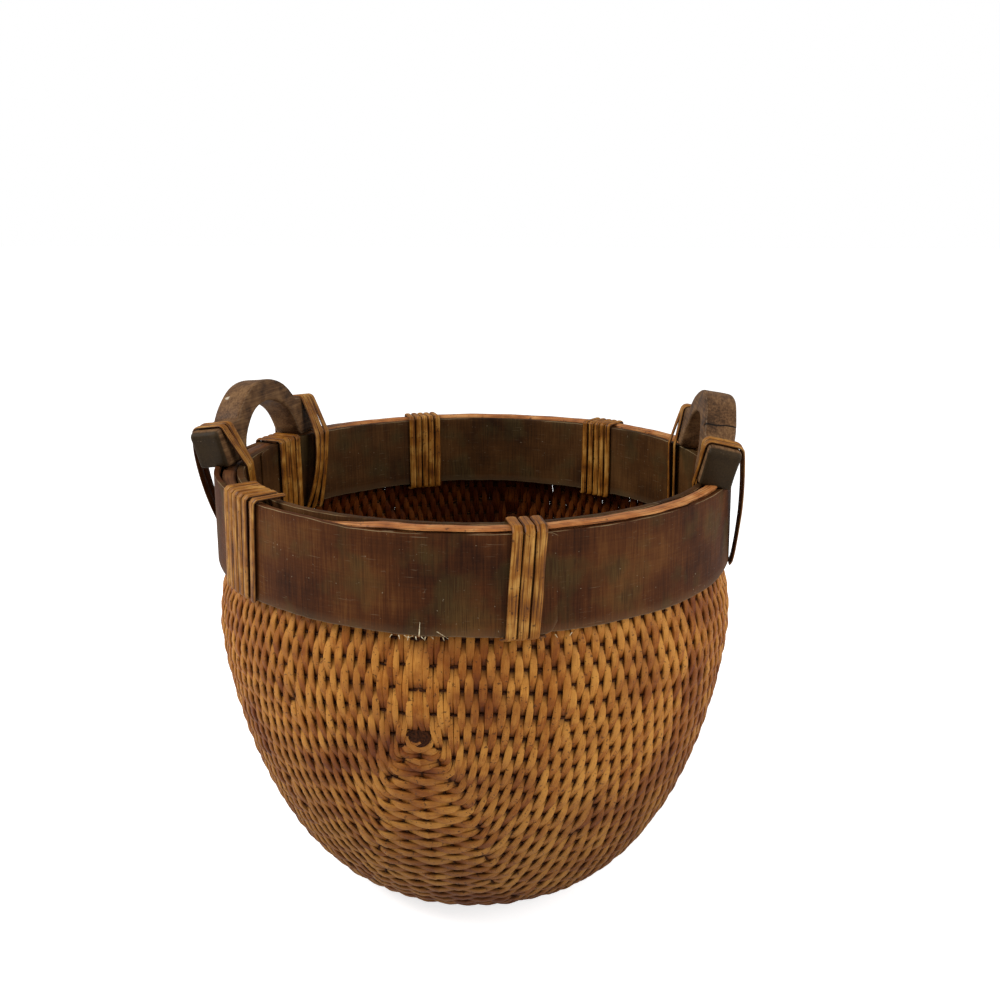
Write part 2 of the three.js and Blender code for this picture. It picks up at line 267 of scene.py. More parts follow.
world = bpy.data.worlds.new("white room")
bpy.context.scene.world = world
world.use_nodes = True
tree = world.node_tree
tree.nodes.clear()
seen = add(tree, "LightPath")
room = add(tree, "Background", Color=(1, 1, 1, 1), Strength=0.4)
paper = add(tree, "Background", Color=(1, 1, 1, 1), Strength=1.0)
either = add(tree, "MixShader", i0=seen.outputs["Is Camera Ray"], i1=room.outputs[0], i2=paper.outputs[0])
add(tree, "OutputWorld", i0=either.outputs[0])


def lamp(name, place, target, size, power):
    light = bpy.data.lights.new(name, "AREA")
    light.size = size
    light.energy = power
    holder = bpy.data.objects.new(name, light)
    bpy.context.scene.collection.objects.link(holder)
    holder.location = place
    holder.rotation_mode = "QUATERNION"
    holder.rotation_quaternion = (Vector(target) - Vector(place)).to_track_quat("-Z", "Y")


lamp("key lamp", (-1.9, -0.8, 2.1), (0, 0, 0.2), 1.1, 47)
lamp("fill lamp", (2.1, -0.6, 1.4), (0, 0, 0.2), 1.6, 26)
bpy.context.scene.view_settings.view_transform = "Standard"
print("floor and", len(bpy.data.lights), "lamps")

# %% [markdown]
# The woven wall is the hard piece. On the real basket, peeled willow rods run from rim to rim:
# straight across the bottom from left to right and up the sides, while at the front and the
# back they turn up round a pointed seam. Hemp cords cross them and pull each rod in and out,
# so each one shows as a row of spindle shaped humps. No operator weaves, so this piece is
# worked out from a formula. First comes the wall's profile, as radius and height along the
# middle of the wall, measured from the middle of the base.

# %% Profile of the woven wall
BASE_RADIUS, BELLY_RADIUS, BELLY_HEIGHT, BULGE = 104.0, 228.0, 242.0, 1.6
NECK_RADIUS, BAND_FOOT, WALL_TOP = 217.5, 297.3, 356.0
ROD_DEPTH = 4.3
APEX_HEIGHT = 216.0


def outside_radius(height):
    below = 1 - np.clip(1 - height / BELLY_HEIGHT, 0, 1) ** BULGE
    low = BASE_RADIUS + (BELLY_RADIUS - BASE_RADIUS) * np.sqrt(below)
    above = np.clip((height - BELLY_HEIGHT) / (BAND_FOOT - BELLY_HEIGHT), 0, 1)
    return np.where(height < BELLY_HEIGHT, low, BELLY_RADIUS - (BELLY_RADIUS - NECK_RADIUS) * above ** 2)


def wall_profile():
    low = BELLY_HEIGHT * np.linspace(0, 1, 400) ** 2
    height = np.concatenate([low, np.linspace(BELLY_HEIGHT, WALL_TOP, 120)[1:]])
    radius = outside_radius(height)
    out, up = np.gradient(radius), np.gradient(height)
    size = np.hypot(out, up)
    radius, height = radius - ROD_DEPTH * up / size, height + ROD_DEPTH * out / size
    radius = np.concatenate([np.linspace(0, radius[0], 60)[:-1], radius])
    height = np.concatenate([np.full(59, height[0]), height])
    far = np.concatenate([[0], np.cumsum(np.hypot(np.diff(radius), np.diff(height)))])
    step = np.arange(0, far[-1], 0.5)
    radius, height = np.interp(step, far, radius), np.interp(step, far, height)
    return step, radius, height, np.gradient(radius, step), np.gradient(height, step)


FAR, RADIUS, HEIGHT, LEANING, RISING = wall_profile()
ON_WALL = HEIGHT > 6
APEX = float(np.interp(APEX_HEIGHT, HEIGHT[ON_WALL], FAR[ON_WALL]))
RIM = float(FAR[-1])
print(f"from the base's middle to the seam's point {APEX:.0f} mm, to the rim {RIM:.0f} mm")

# %% [markdown]
# Which way does each rod run? Every rod has a number, counted from the seam's point. On the
# seam and across the base the numbers are known, and so they are at the middle of the sides.
# Between them they even out, as a stretched skin does, so the same equation gives them. In
# the narrow triangle under the point the rods lie level, and they bend up at its edges.

# %% Rod numbers over a quarter of the wall
ROD_COUNT = 63.5
SEAM_PITCH = 5.5
SEAM_REACH = 150.0
SEAM_WIDTH = 3.4
OVERSHOOT = 1.9


def number_below(depth):
    """Rods from the seam's point down to a depth."""
    near = np.clip(depth, 0, SEAM_REACH) / SEAM_PITCH
    share = (ROD_COUNT - SEAM_REACH / SEAM_PITCH) / (APEX - SEAM_REACH)
    return near + np.clip(depth - SEAM_REACH, 0, None) * share


def rod_numbers(columns=181, sweeps=900):
    """Evens out the numbers on a grid. Each sweep overshoots, which settles them sooner."""
    turn = np.linspace(0, math.pi / 2, columns)
    rows = np.linspace(BASE_RADIUS, RIM, int((RIM - BASE_RADIUS) / 2) + 1)
    turns, fars = np.meshgrid(turn, rows)
    radius = np.interp(rows, FAR, RADIUS)[:, None]
    depth = APEX - fars
    width = 2 * np.sqrt(SEAM_WIDTH * np.clip(SEAM_WIDTH + depth, 0, None))
    in_seam = (turns * radius <= width) & (depth > -SEAM_WIDTH)
    level = fars * np.cos(turns) ** np.clip((200 - fars) / 96, 0, 1)
    number = turns / (math.pi / 2) * ROD_COUNT
    number = np.where(in_seam, number_below(APEX - level), number)
    number = np.where(turns == 0, number_below(depth), number)
    number = np.where(fars == rows[0], number_below(APEX - fars * np.cos(turns)), number)
    number = np.where(turns == turn[-1], ROD_COUNT, number)
    fixed = in_seam | (turns == 0) | (fars == rows[0]) | (turns == turn[-1])
    gap = rows[1] - rows[0]
    up = np.interp(rows + gap / 2, FAR, RADIUS)[:, None] / gap ** 2
    down = np.interp(rows - gap / 2, FAR, RADIUS)[:, None] / gap ** 2
    side = 1 / (radius * turn[1] ** 2)
    even = np.add.outer(np.arange(len(rows)), np.arange(columns)) % 2 == 0
    for _ in range(sweeps):
        for colour in (even, ~even):
            above = np.vstack([number[1:], number[-2:-1]])
            below = np.vstack([number[:1], number[:-1]])
            beside = np.hstack([number[:, :1], number[:, :-1]]) + np.hstack([number[:, 1:], number[:, -1:]])
            calm = (up * above + down * below + side * beside) / (up + down + 2 * side)
            number = np.where(colour & ~fixed, number + OVERSHOOT * (calm - number), number)
    return turn, rows, number


turn_of, row_of, numbers = rod_numbers()
print("grid of rod numbers:", numbers.shape)

# %% [markdown]
# A rod is a line of one number over that grid. Near the seam's point the photograph shows
# rods in pairs, so the first four lines carry two thin rods each. The lines are turned
# into points a millimetre apart, from the seam out to the rim.

# %% Lines of the rods
PAIRS = [0.75, 2.25, 3.75, 5.25]
rod_labels = PAIRS + list(np.linspace(6.5, ROD_COUNT - 0.5, 57))


def in_space(line):
    radius, height = np.interp(line[:, 1], FAR, RADIUS), np.interp(line[:, 1], FAR, HEIGHT)
    return np.stack([radius * np.sin(line[:, 0]), -radius * np.cos(line[:, 0]), height], 1)


def rod_line(label):
    fars = np.linspace(0, APEX, 2000)
    start = float(np.interp(label, number_below(APEX - fars)[::-1], fars[::-1]))
    if start < BASE_RADIUS:
        across = np.arange(0, math.sqrt(BASE_RADIUS ** 2 - start ** 2), 2.0)
        points = [(math.atan2(x, start), math.hypot(x, start)) for x in across]
    else:
        points = [(0.0, start)]
    for row, far in zip(numbers, row_of):
        if far > max(start, BASE_RADIUS):
            points.append((float(np.interp(label, np.maximum.accumulate(row), turn_of)), far))
    line = np.array(points)
    for _ in range(3):
        line[1:-1] = (line[:-2] + 2 * line[1:-1] + line[2:]) / 4
    points = in_space(line)
    far = run_along(points)
    return resample(np.arange(0, far[-1], 1.0), far, line)


rod_lines = [rod_line(label) for label in rod_labels]
print(f"{len(rod_lines)} half rods, the longest {len(rod_lines[-1])} mm")

# %% [markdown]
# The hemp cords run square to the rods. They are followed from the rod at the middle of the
# side towards the seam: each crossing moves over to the nearest place on the next rod. Where
# they crowd together, two end, as a weaver drops them, so the humps keep their length.

# %% Where the cords cross the rods
CORD_PITCH = 16.6


def cord_crossings():
    space = [in_space(line) for line in rod_lines]
    crossings = [None] * len(space)
    crossings[-1] = np.arange(0, len(space[-1]) - 1, CORD_PITCH)
    for place in range(len(space) - 2, -1, -1):
        index = np.clip(np.round(crossings[place + 1]).astype(int), 0, len(space[place + 1]) - 1)
        here = space[place]
        marked = space[place + 1][index]
        near = np.array([np.argmin(((here - point) ** 2).sum(1)) for point in marked], float)
        near[0] = 0
        near = np.maximum.accumulate(near)
        while True:
            for _ in range(4):
                near[1:-1] += 0.12 * ((near[:-2] + near[2:]) / 2 - near[1:-1])
            spans = near[6:] - near[:-6]
            if not len(spans) or spans.min() > 6 * 0.8 * CORD_PITCH:
                break
            first = int(np.argmin(spans))
            fewer = np.linspace(near[first], near[first + 6], 5)[1:-1]
            near = np.concatenate([near[:first + 1], fewer, near[first + 6:]])
        crossings[place] = near
    return crossings


crossings = cord_crossings()
print("cord crossings:", 4 * sum(len(each) for each in crossings))

# %% [markdown]
# Each rod is now a tube of eight sides that is pushed out over one cord and pulled in under
# the next. Where it is out it is widest, and covers the edges of the rods beside it, which the
# same cord pulls in. At the cord it thins in one sharp step, which gives the blunt ends in the
# photograph. A little chance goes into widths, places and tints, as no two rods are alike.

# %% Shape of one rod
ROD_SIDES = 8
ROD_THICKNESS = 4.5
ROD_SWING = 1.2
PINCH_DEPTH = 1.0
STEPS_FROM_PINCH = np.array([0.0, 0.09, 0.36, 0.64, 0.91])
WIDTH_PLACES = [0.0, 0.09, 0.36, 0.64, 1.0]
WIDTH_SHARES = [1.14, 1.12, 1.15, 1.22, 1.28]


def half_rod_stations(marks, parity):
    """Distance along the half rod, cord phase (0 pinched outside, 1 out) and hump number."""
    along, phase, hump = [], [], []
    for place in range(len(marks) - 1):
        start, span = marks[place], marks[place + 1] - marks[place]
        is_out = (place + parity) % 2 == 0
        shares = 1 - STEPS_FROM_PINCH[::-1] if is_out else STEPS_FROM_PINCH
        if is_out:
            shares = np.concatenate([[0.0], shares[:-1]])
        for share in shares:
            along.append(start + share * span)
            phase.append(1 - share if is_out else share)
            hump.append(place + (0 if is_out else 1))
    return np.array(along), np.array(phase), np.array(hump)


def local_pitch(place):
    """Width that a rod has to itself along its line, from the rods beside it."""
    here = in_space(rod_lines[place])
    others = [other for other in (place - 1, place + 1) if 0 <= other < len(rod_lines)]
    beside = [in_space(rod_lines[other]) for other in others]
    shares = [abs(rod_labels[other] - rod_labels[place]) for other in others]
    mine = 1.5 if place < len(PAIRS) else 1.0
    picks = np.arange(0, len(here), 6)
    pitch = np.mean([
        [np.sqrt(((other - here[pick]) ** 2).sum(1).min()) / share * mine for pick in picks]
        for other, share in zip(beside, shares)
    ], axis=0)
    return np.interp(np.arange(len(here)), picks, np.clip(pitch, 4.2, 11.5))


rod_pitches = [local_pitch(place) for place in range(len(rod_lines))]
narrowest, widest = min(each.min() for each in rod_pitches), max(each.max() for each in rod_pitches)
print(f"rod widths: {narrowest:.1f} to {widest:.1f} mm")

# %% [markdown]
# On the basket a rod runs in one length from the rim, across the seam or the base, and up to
# the rim again. It could be a bevelled curve, but that can only scale its section, and these
# rods swell and thin on one side at a time. So each is a closed tube, skinned over rings of
# points. A line gives half a rod, used to the left and to the right, and the back has the
# same lines turned round. A piece stays under 200,000 triangles, so the front and the back
# are two pieces each: the first half of the lines, counted from the seam's point, and the rest.

# %% Build the rods


def wave(length, reach, size):
    """Slow random sway along a rod."""
    knots = max(int(length / reach) + 3, 4)
    ties = np.linspace(0, length + 2, knots)
    return np.interp(np.arange(int(length) + 2), ties, chance.normal(0, size, knots))


def rod_rings(place, back, sideways, narrow):
    """Rings of points, tones and lengths of one whole rod, from the left rim to the right."""
    parity = place + (1 if back else 0)
    halves = []
    rod_tint = chance.uniform()
    girth = chance.normal(1.0, 0.045)
    for side in (-1, 1):
        line, pitch = rod_lines[place], rod_pitches[place]
        marks = crossings[place].copy()
        marks[1:-1] += chance.normal(0, 0.55, len(marks) - 2)
        along, phase, hump = half_rod_stations(marks, parity)
        tint = chance.uniform(size=hump.max() + 2)[hump]
        lift = chance.normal(0, 0.22, size=hump.max() + 2)[hump]
        sway = wave(len(line), 26, 0.2)
        index = np.clip(along, 0, len(line) - 1)
        whole = np.arange(len(line))
        turn = np.interp(index, whole, line[:, 0])
        far = np.interp(index, whole, line[:, 1])
        width = np.interp(index, whole, pitch) * girth
        swayed = np.interp(index, np.arange(len(sway)), sway)
        halves.append((side * turn, far, phase, width, tint, lift, swayed, side * along))
    joined = [np.concatenate([halves[0][part][::-1], halves[1][part][1:]]) for part in range(8)]
    turn, far, phase, width, tint, lift, sway, along = joined
    radius, height = np.interp(far, FAR, RADIUS), np.interp(far, FAR, HEIGHT)
    leaning, rising = np.interp(far, FAR, LEANING), np.interp(far, FAR, RISING)
    facing = 1 if back else -1
    radial = np.stack([np.sin(turn), facing * np.cos(turn), 0 * turn], 1)
    centre = radial * radius[:, None] + np.stack([0 * turn, 0 * turn, height], 1)
    normal = unit(radial * rising[:, None] - np.stack([0 * turn, 0 * turn, leaning], 1))
    tangent = unit(np.gradient(centre, axis=0))
    across = unit(np.cross(normal, tangent))
    swing = -np.cos(math.pi * phase) * ROD_SWING + lift * np.sin(math.pi * phase / 2)
    angles = (np.arange(ROD_SIDES) + 0.5) / ROD_SIDES * 2 * math.pi
    beside = (np.sign(np.sin(angles)) * np.abs(np.sin(angles)) ** 0.55)[None]
    above = (np.sign(np.cos(angles)) * np.abs(np.cos(angles)) ** 0.4)[None]
    from_pinch = np.where(above > 0, phase[:, None], 1 - phase[:, None])
    share = np.interp(from_pinch, WIDTH_PLACES, WIDTH_SHARES)
    pinch = np.interp(from_pinch, [0, 0.09, 0.3], [PINCH_DEPTH, 0.25, 0])
    half_width = width / 2 * narrow
    half_thick = ROD_THICKNESS / 2 * (0.86 if narrow < 1 else 1) * np.clip(width / 6.3, 0.75, 1.15)
    shift = sideways * width
    sides = (beside * half_width[:, None] + shift[:, None]) * share + sway[:, None]
    depths = above * (half_thick[:, None] - pinch) + swing[:, None]
    rings = centre[:, None] + across[:, None] * sides[..., None] + normal[:, None] * depths[..., None]
    # Painted shade: the tone's third value is low where a ring lies deep in the wall and at the rod's sides,
    # and the material darkens it there.
    exposed = np.clip(0.5 + depths / 7.2 * (1 - 0.85 * np.abs(beside) ** 6), 0, 1)
    # Painted shade and painted highlight: the lower end of each hump is darkened and its upper tip
    # lightened, in the tone's first value.
    rising = np.sign(np.gradient(phase) * np.gradient(height))[:, None]
    low_end = np.where(above > 0, rising, -rising) > 0
    shade = rod_tint + np.where(low_end, -1.5, 0.45) * (1 - from_pinch)
    tone = np.stack([shade, np.broadcast_to(tint[:, None], exposed.shape), exposed], 2)
    return rings * MM, tone, along, (centre, normal, across, phase, width)


def tube_faces(ring_count, sides, offset):
    """Faces of a closed tube of rings, with its two ends, all four-sided."""
    ring = offset + np.arange(ring_count - 1)[:, None] * sides
    start, after = ring + np.arange(sides), ring + (np.arange(sides) + 1) % sides
    wall = np.stack([start, after, after + sides, start + sides], 2).reshape(-1, 4)
    pairs = np.arange(sides // 2 - 1)
    cap = np.stack([pairs, pairs + 1, sides - 2 - pairs, sides - 1 - pairs], 1)
    last = offset + (ring_count - 1) * sides
    return np.concatenate([wall, offset + cap[:, ::-1], last + cap])


PAIR_SPREAD = 0.25
PAIR_WIDTH = 0.54
rod_cords = []


def weave_rods(name, places, back):
    points, tones, faces, lengths, offset = [], [], [], [], 0
    for place in places:
        paired = place < len(PAIRS)
        for sideways in ((-PAIR_SPREAD, PAIR_SPREAD) if paired else (0.0,)):
            rings, tone, along, cords = rod_rings(place, back, sideways, PAIR_WIDTH if paired else 1.0)
            if sideways <= 0:
                rod_cords.append(cords)
            points.append(rings.reshape(-1, 3))
            tones.append(tone.reshape(-1, 3))
            faces.append(tube_faces(len(rings), ROD_SIDES, offset))
            lengths.append(np.broadcast_to((along + 700 * place)[:, None], rings.shape[:2]).ravel())
            offset += len(rings) * ROD_SIDES
    points, faces = np.concatenate(points), np.concatenate(faces)
    piece = new_mesh(name, points, faces)
    set_attribute(piece, "tone", np.concatenate(tones))
    far = np.concatenate(lengths) * MM
    round_rod = np.tile(np.arange(ROD_SIDES), len(points) // ROD_SIDES) / ROD_SIDES * 0.018
    set_attribute(piece, "grain", np.stack([far, round_rod, 0 * far], 1))
    return piece


UPPER_RODS = 32
count = len(rod_lines)
rod_pieces = [
    weave_rods("willow_rods_front", range(0, UPPER_RODS), False),
    weave_rods("willow_rods_front_base", range(UPPER_RODS, count), False),
    weave_rods("willow_rods_back", range(0, UPPER_RODS), True),
    weave_rods("willow_rods_back_base", range(UPPER_RODS, count), True),
]
print("rods:", sum(len(piece.data.polygons) for piece in rod_pieces), "faces")

# %% [markdown]
# The hemp cords only show where they pinch a rod, as a short dark line across it. So a cord is
# made as one short bent piece for each crossing, outside or inside, with its ends sunk between
# the rods beside it.

# %% Build the cord crossings
CORD_THICKNESS = 1.15
CORD_SPREAD = np.array([-0.56, -0.26, 0.26, 0.56])
CORD_SINK = np.array([-1.5, 0.1, 0.1, -1.5])


def weave_cords(name, rods):
    centres, normals, acrosses, widths = [], [], [], []
    for centre, normal, across, phase, width in rods:
        for side, wanted in ((1, 0.0), (-1, 1.0)):
            here = np.abs(phase - wanted) < 0.01
            centres.append(centre[here])
            normals.append(normal[here] * side)
            acrosses.append(across[here])
            widths.append(width[here])
    centre, normal, across = np.concatenate(centres), np.concatenate(normals), np.concatenate(acrosses)
    width = np.concatenate(widths)
    tangent = np.cross(across, normal)
    surface = (ROD_THICKNESS / 2 - PINCH_DEPTH) * 0.95 - ROD_SWING + CORD_THICKNESS / 2 + 0.1
    corner = np.array([[0.5, 0.5], [-0.5, 0.5], [-0.5, -0.5], [0.5, -0.5]]) * CORD_THICKNESS
    uneven = chance.normal(0, 0.12, (len(centre), 1, 1))
    lift = surface + CORD_SINK[None, :, None] + corner[None, None, :, 1] + uneven
    along = corner[None, None, :, 0] + chance.normal(0, 0.25, (len(centre), 4, 1))
    spread = width[:, None, None] * CORD_SPREAD[None, :, None] + 0 * lift
    points = centre[:, None, None] + across[:, None, None] * spread[..., None]
    points = points + normal[:, None, None] * lift[..., None]
    points = points + tangent[:, None, None] * (along + 0 * lift)[..., None]
    one = tube_faces(4, 4, 0)
    faces = (one[None] + 16 * np.arange(len(centre))[:, None, None]).reshape(-1, 4)
    return new_mesh(name, points.reshape(-1, 3) * MM, faces)


middle = len(rod_cords) // 2
front_cords, back_cords = rod_cords[:middle], rod_cords[middle:]
cord_pieces = [weave_cords("hemp_cords_front", front_cords), weave_cords("hemp_cords_back", back_cords)]


def outward(piece):
    """Turns a closed mesh right side out if it was made inside out."""
    mesh = piece.data
    points = points_of(piece)
    quads = np.empty(len(mesh.polygons) * 4, dtype=np.int32)
    mesh.polygons.foreach_get("vertices", quads)
    a, b, c, d = (points[quads.reshape(-1, 4)[:, corner]] for corner in range(4))
    volume = (np.einsum("ij,ij->i", a, np.cross(b, c)) + np.einsum("ij,ij->i", a, np.cross(c, d))).sum()
    if volume < 0:
        mesh.flip_normals()
    print(piece.name, "volume", round(abs(volume) / 6 * 1e6), "ml")


for piece in rod_pieces + cord_pieces:
    outward(piece)

# %% [markdown]
# Where the seam comes to its point, the cords end in a flat dark knot, pressed on a plug of
# cord that closes the wall. The knot is three thin rings that cross one another, and the plug
# a flattened ball. Both are made at the origin, tilted and moved to the wall by their
# points, once for the front and once for the back.

# %% Knots at the seam's points
KNOT_HEIGHT = APEX_HEIGHT + 1.5
KNOT_SHAPE = (11.5, 3.4, 7.4)


def seam_knot(name, facing):
    deselect()
    parts = []
    for tilt, ring_turn in ((0.0, 0.3), (0.5, -0.7), (-0.45, 1.1)):
        bpy.ops.mesh.primitive_torus_add(major_radius=0.8, minor_radius=0.2, major_segments=28,
                                         minor_segments=8, rotation=(math.pi / 2 + tilt, ring_turn, tilt))
        parts.append(bpy.context.object)
    bpy.ops.mesh.primitive_uv_sphere_add(segments=20, ring_count=12, radius=0.72)
    parts.append(bpy.context.object)
    for part in parts:
        part.select_set(True)
    bpy.ops.object.transform_apply(location=True, rotation=True, scale=True)
    bpy.ops.object.join()
    knot = named(name)
    radius = float(outside_radius(np.array([KNOT_HEIGHT]))[0]) - ROD_DEPTH + 0.4
    points = points_of(knot) * KNOT_SHAPE
    points[:, 1] = facing * (radius - points[:, 1] * facing - points[:, 0] ** 2 / 420)
    points[:, 2] = KNOT_HEIGHT + points[:, 2]
    set_points(knot, points * MM)
    bpy.ops.object.shade_smooth()
    return knot


knots = [seam_knot("seam_knot_front", -1), seam_knot("seam_knot_back", 1)]

# %% [markdown]
# Peeled willow turns golden brown with age. Its skin is smooth with a soft sheen, and shows
# fine lines along the rod, small dark specks, and darker stains where hands and damp have
# been. Each hump is painted darker at its lower end and paler at its upper tip, as painted
# shade and painted highlight. The deep parts of the wall, its inside and the sides of every rod
# are painted darker, as painted shade between the rods, and the foot of the basket is painted
# darker than its shoulder, as painted shade. The pieces carry their tones and their grain
# direction, so the pattern follows each rod round the basket.

# %% Willow
GRAIN_ACROSS = 1 / (0.7 * MM)
GRAIN_ALONG = 1 / (14 * MM)

willow, tree, shader = new_material("peeled willow, aged, hand polished", 0.5, Specular_IOR_Level=0.2)
tones = add(tree, "SeparateXYZ", Vector=add(tree, "Attribute", {"attribute_name": "tone"}).outputs["Vector"])
grain_place = add(tree, "Attribute", {"attribute_name": "grain"}).outputs["Vector"]
grain_space = add(tree, "Mapping", Vector=grain_place, Scale=(GRAIN_ALONG, GRAIN_ACROSS, 1))
grain = add(tree, "TexNoise", Vector=grain_space.outputs[0], Scale=1.0, Detail=4.0, Roughness=0.6)
where = add(tree, "TexCoord").outputs["Object"]
stain = add(tree, "TexNoise", Vector=where, Scale=1 / (55 * MM), Detail=3.0)
speck = add(tree, "TexNoise", Vector=where, Scale=1 / (2.2 * MM), Detail=2.0)
sided = add(tree, "Math", {"operation": "SUBTRACT"}, i0=tones.outputs["Z"], i1=0.5)
from_middle = add(tree, "Math", {"operation": "ABSOLUTE"}, i0=sided.outputs[0])
multiply_add = {"operation": "MULTIPLY_ADD"}
# The tone's first value is each rod's own tint with the painted shade and painted highlight of its humps.
mix_tint_and_shade = add(tree, "Math", multiply_add, i0=tones.outputs["X"], i1=0.14, i2=-0.01)
mix_hump = add(tree, "Math", multiply_add, i0=tones.outputs["Y"], i1=0.17, i2=mix_tint_and_shade.outputs[0])
mottle = add(tree, "TexNoise", Vector=where, Scale=1 / (7 * MM), Detail=3.0)
mottled = add(tree, "Math", multiply_add, i0=mottle.outputs["Fac"], i1=0.3, i2=mix_hump.outputs[0])
mix_grain = add(tree, "Math", multiply_add, i0=grain.outputs["Fac"], i1=0.9, i2=mottled.outputs[0])
body_tint = add(tree, "ValToRGB", Fac=mix_grain.outputs[0], stops=[
    (0.2, "#421b04"), (0.45, "#7a3d09"), (0.63, "#9e5916"), (0.88, "#d2913f")])
colour = body_tint.outputs["Color"]
for share, stops, tint, blend in (
    (stain.outputs["Fac"], [(0.46, 0.0), (0.7, 0.8)], "#a8805a", "MULTIPLY"),
    (speck.outputs["Fac"], [(0.62, 0.0), (0.69, 0.8)], "#4c2b0e", "MIX"),
    # The next two layers are painted shade: they darken the deep parts and inside of the wall, and the sides
    # of every rod.
    (tones.outputs["Z"], [(0.4, 1.0), (0.52, 0.0)], "#9a7858", "MULTIPLY"),
    (from_middle.outputs[0], [(0.0, 0.92), (0.06, 0.45), (0.17, 0.0)], "#2c1205", "MIX"),
):
    colour = layer(tree, colour, share, stops, tint, blend)
# Painted shade: the wall is darkened towards the foot of the basket.
height = add(tree, "SeparateXYZ", Vector=where).outputs["Z"]
foot_shade = add(tree, "ValToRGB", Fac=height, stops=[(0.02, 0.5), (0.1, 0.62), (0.17, 0.88), (0.25, 1.0)])
foot_shaded = add(tree, "MixRGB", {"blend_type": "MULTIPLY"}, Fac=1.0,
             Color1=colour, Color2=foot_shade.outputs["Color"])
rough = add(tree, "MapRange", Value=grain.outputs["Fac"], To_Min=0.42, To_Max=0.66)
bumps = add(tree, "Bump", Height=grain.outputs["Fac"], Strength=0.4, Distance=0.35 * MM)
wire(tree, shader, foot_shaded.outputs["Color"], rough, bumps)

# %% [markdown]
# Hemp cord is twisted from dull, hairy fibres. Here it is dark with wax and dirt, so the eye
# sees hardly any gloss on it. A twist could be drawn along it, but only short bits of cord
# show, and its fibres are too fine for the render. One coarser noise of 1.5 mm stands for
# them, and gives tint, roughness and bump alike. Raw wood takes the same finish further down.

# %% Hemp cord


def fibre_finish(name, gloss, size, bump_size, strength, stops):
    """A rough fibrous material whose tint, roughness and bump come from one fine noise."""
    finish, tree, shader = new_material(name, 0.8, Specular_IOR_Level=gloss)
    where = add(tree, "TexCoord").outputs["Object"]
    fibre = add(tree, "TexNoise", Vector=where, Scale=1 / (size * MM), Detail=2.0).outputs["Fac"]
    tint = add(tree, "ValToRGB", Fac=fibre, stops=stops)
    bump = add(tree, "Bump", Height=fibre, Strength=strength, Distance=bump_size * MM)
    rough = add(tree, "MapRange", Value=fibre, To_Min=0.7, To_Max=0.9)
    wire(tree, shader, tint.outputs["Color"], rough, bump)
    return finish


hemp = fibre_finish(
    "hemp cord, waxed and dirty", gloss=0.1, size=1.5, bump_size=0.3, strength=0.5,
    stops=[(0.3, "#1c0c05"), (0.7, "#4a2712")])
print("materials so far:", len(bpy.data.materials))

for piece in rod_pieces:
    settle(piece, "willow", willow, "woven_body")
for piece in cord_pieces + knots:
    settle(piece, "willow", hemp, "woven_body")

# %% [markdown]
# Two wooden boards hold the mouth, one outside and one inside. Each was steamed, bent round
# once and on over its own thinned start. Here a flat grid is bent in the same way: its points
# are moved on to the ring, a solidify modifier gives the board its thickness, thinner where a
# point weighs less, and a bevel wears its edges. The length and height of every point stay
# with it, so that the grain can follow the board.

# %% Bent boards
RIM_HEIGHT = 370.7
LAP_TURN = 25.0
LAP_END_THICKNESS = 1.8
LAP_GAP = 0.3
CORNER_ROUND = 9.0


def round_rim(angle, marks):
    """Value at an angle in degrees, from marks of angle and value round the rim."""
    places, values = zip(*marks)
    return np.interp((angle + 180) % 360 - 180, places, values)


def bend_board(name, seat, thickness, height, flare, lap_end, stacked, top_lift, bulge):
    turns = 360 + LAP_TURN
    columns, rows = int(turns), 14
    deselect()
    bpy.ops.mesh.primitive_grid_add(x_subdivisions=columns, y_subdivisions=rows, size=1)
    board = named(name)
    flat = points_of(board)
    turned, share = (flat[:, 0] + 0.5) * turns, flat[:, 1] + 0.5
    growing = np.clip(turned / LAP_TURN, 0, 1)
    thick = LAP_END_THICKNESS + (thickness - LAP_END_THICKNESS) * growing
    past = np.clip((turned - 360) / LAP_TURN, 0, None)
    beneath = LAP_END_THICKNESS + (thickness - LAP_END_THICKNESS) * past + LAP_GAP
    near = np.clip((turned - 352) / 8, 0, 1) * beneath
    far = np.where(turned < 352, thick, np.maximum(thickness, near + LAP_END_THICKNESS))
    degrees = lap_end - LAP_TURN + turned
    angle = np.radians(degrees)
    foot = RIM_HEIGHT - height
    run = angle * seat
    sway = 0.35 * np.sin(run / 61 + seat) + 0.2 * np.sin(run / 23 + 2)
    end = np.clip((turns - turned) / 360 * 2 * math.pi * seat / CORNER_ROUND, 0, 1)
    rounding = CORNER_ROUND * (1 - np.sqrt(1 - (1 - end) ** 2))
    low = foot + 0.5 * np.sin(run / 37 + 1) + 0.25 * np.sin(run / 11) + 0.12 * np.sin(run / 2.7) + rounding
    top = RIM_HEIGHT - 0.2 - 0.2 * np.sin(run / 29 + seat) - 0.1 * np.sin(run / 3.1) - rounding * 0.3
    top = top + round_rim(degrees, top_lift)
    z = low + (top - low) * share
    radius = seat + stacked * (near + far) / 2 + flare * (1 - share) + 0.4 * sway * stacked * (1 - share)
    radius = radius + round_rim(degrees, bulge)
    set_points(board, np.stack([radius * np.cos(angle), radius * np.sin(angle), z], 1) * MM)
    set_attribute(board, "board", np.stack([run * MM, (z - foot) * MM, share], 1))
    group = board.vertex_groups.new(name="thickness")
    for index, weight in enumerate(((far - near) / thickness).tolist()):
        group.add([index], weight, "REPLACE")
    apply_modifier(board, "SOLIDIFY", thickness=thickness * MM, offset=0, vertex_group="thickness")
    apply_modifier(board, "BEVEL", width=0.6 * MM, segments=2,
                   limit_method="ANGLE", angle_limit=math.radians(50))
    face_outwards(board)
    bpy.ops.object.shade_smooth_by_angle(angle=math.radians(40))
    return board


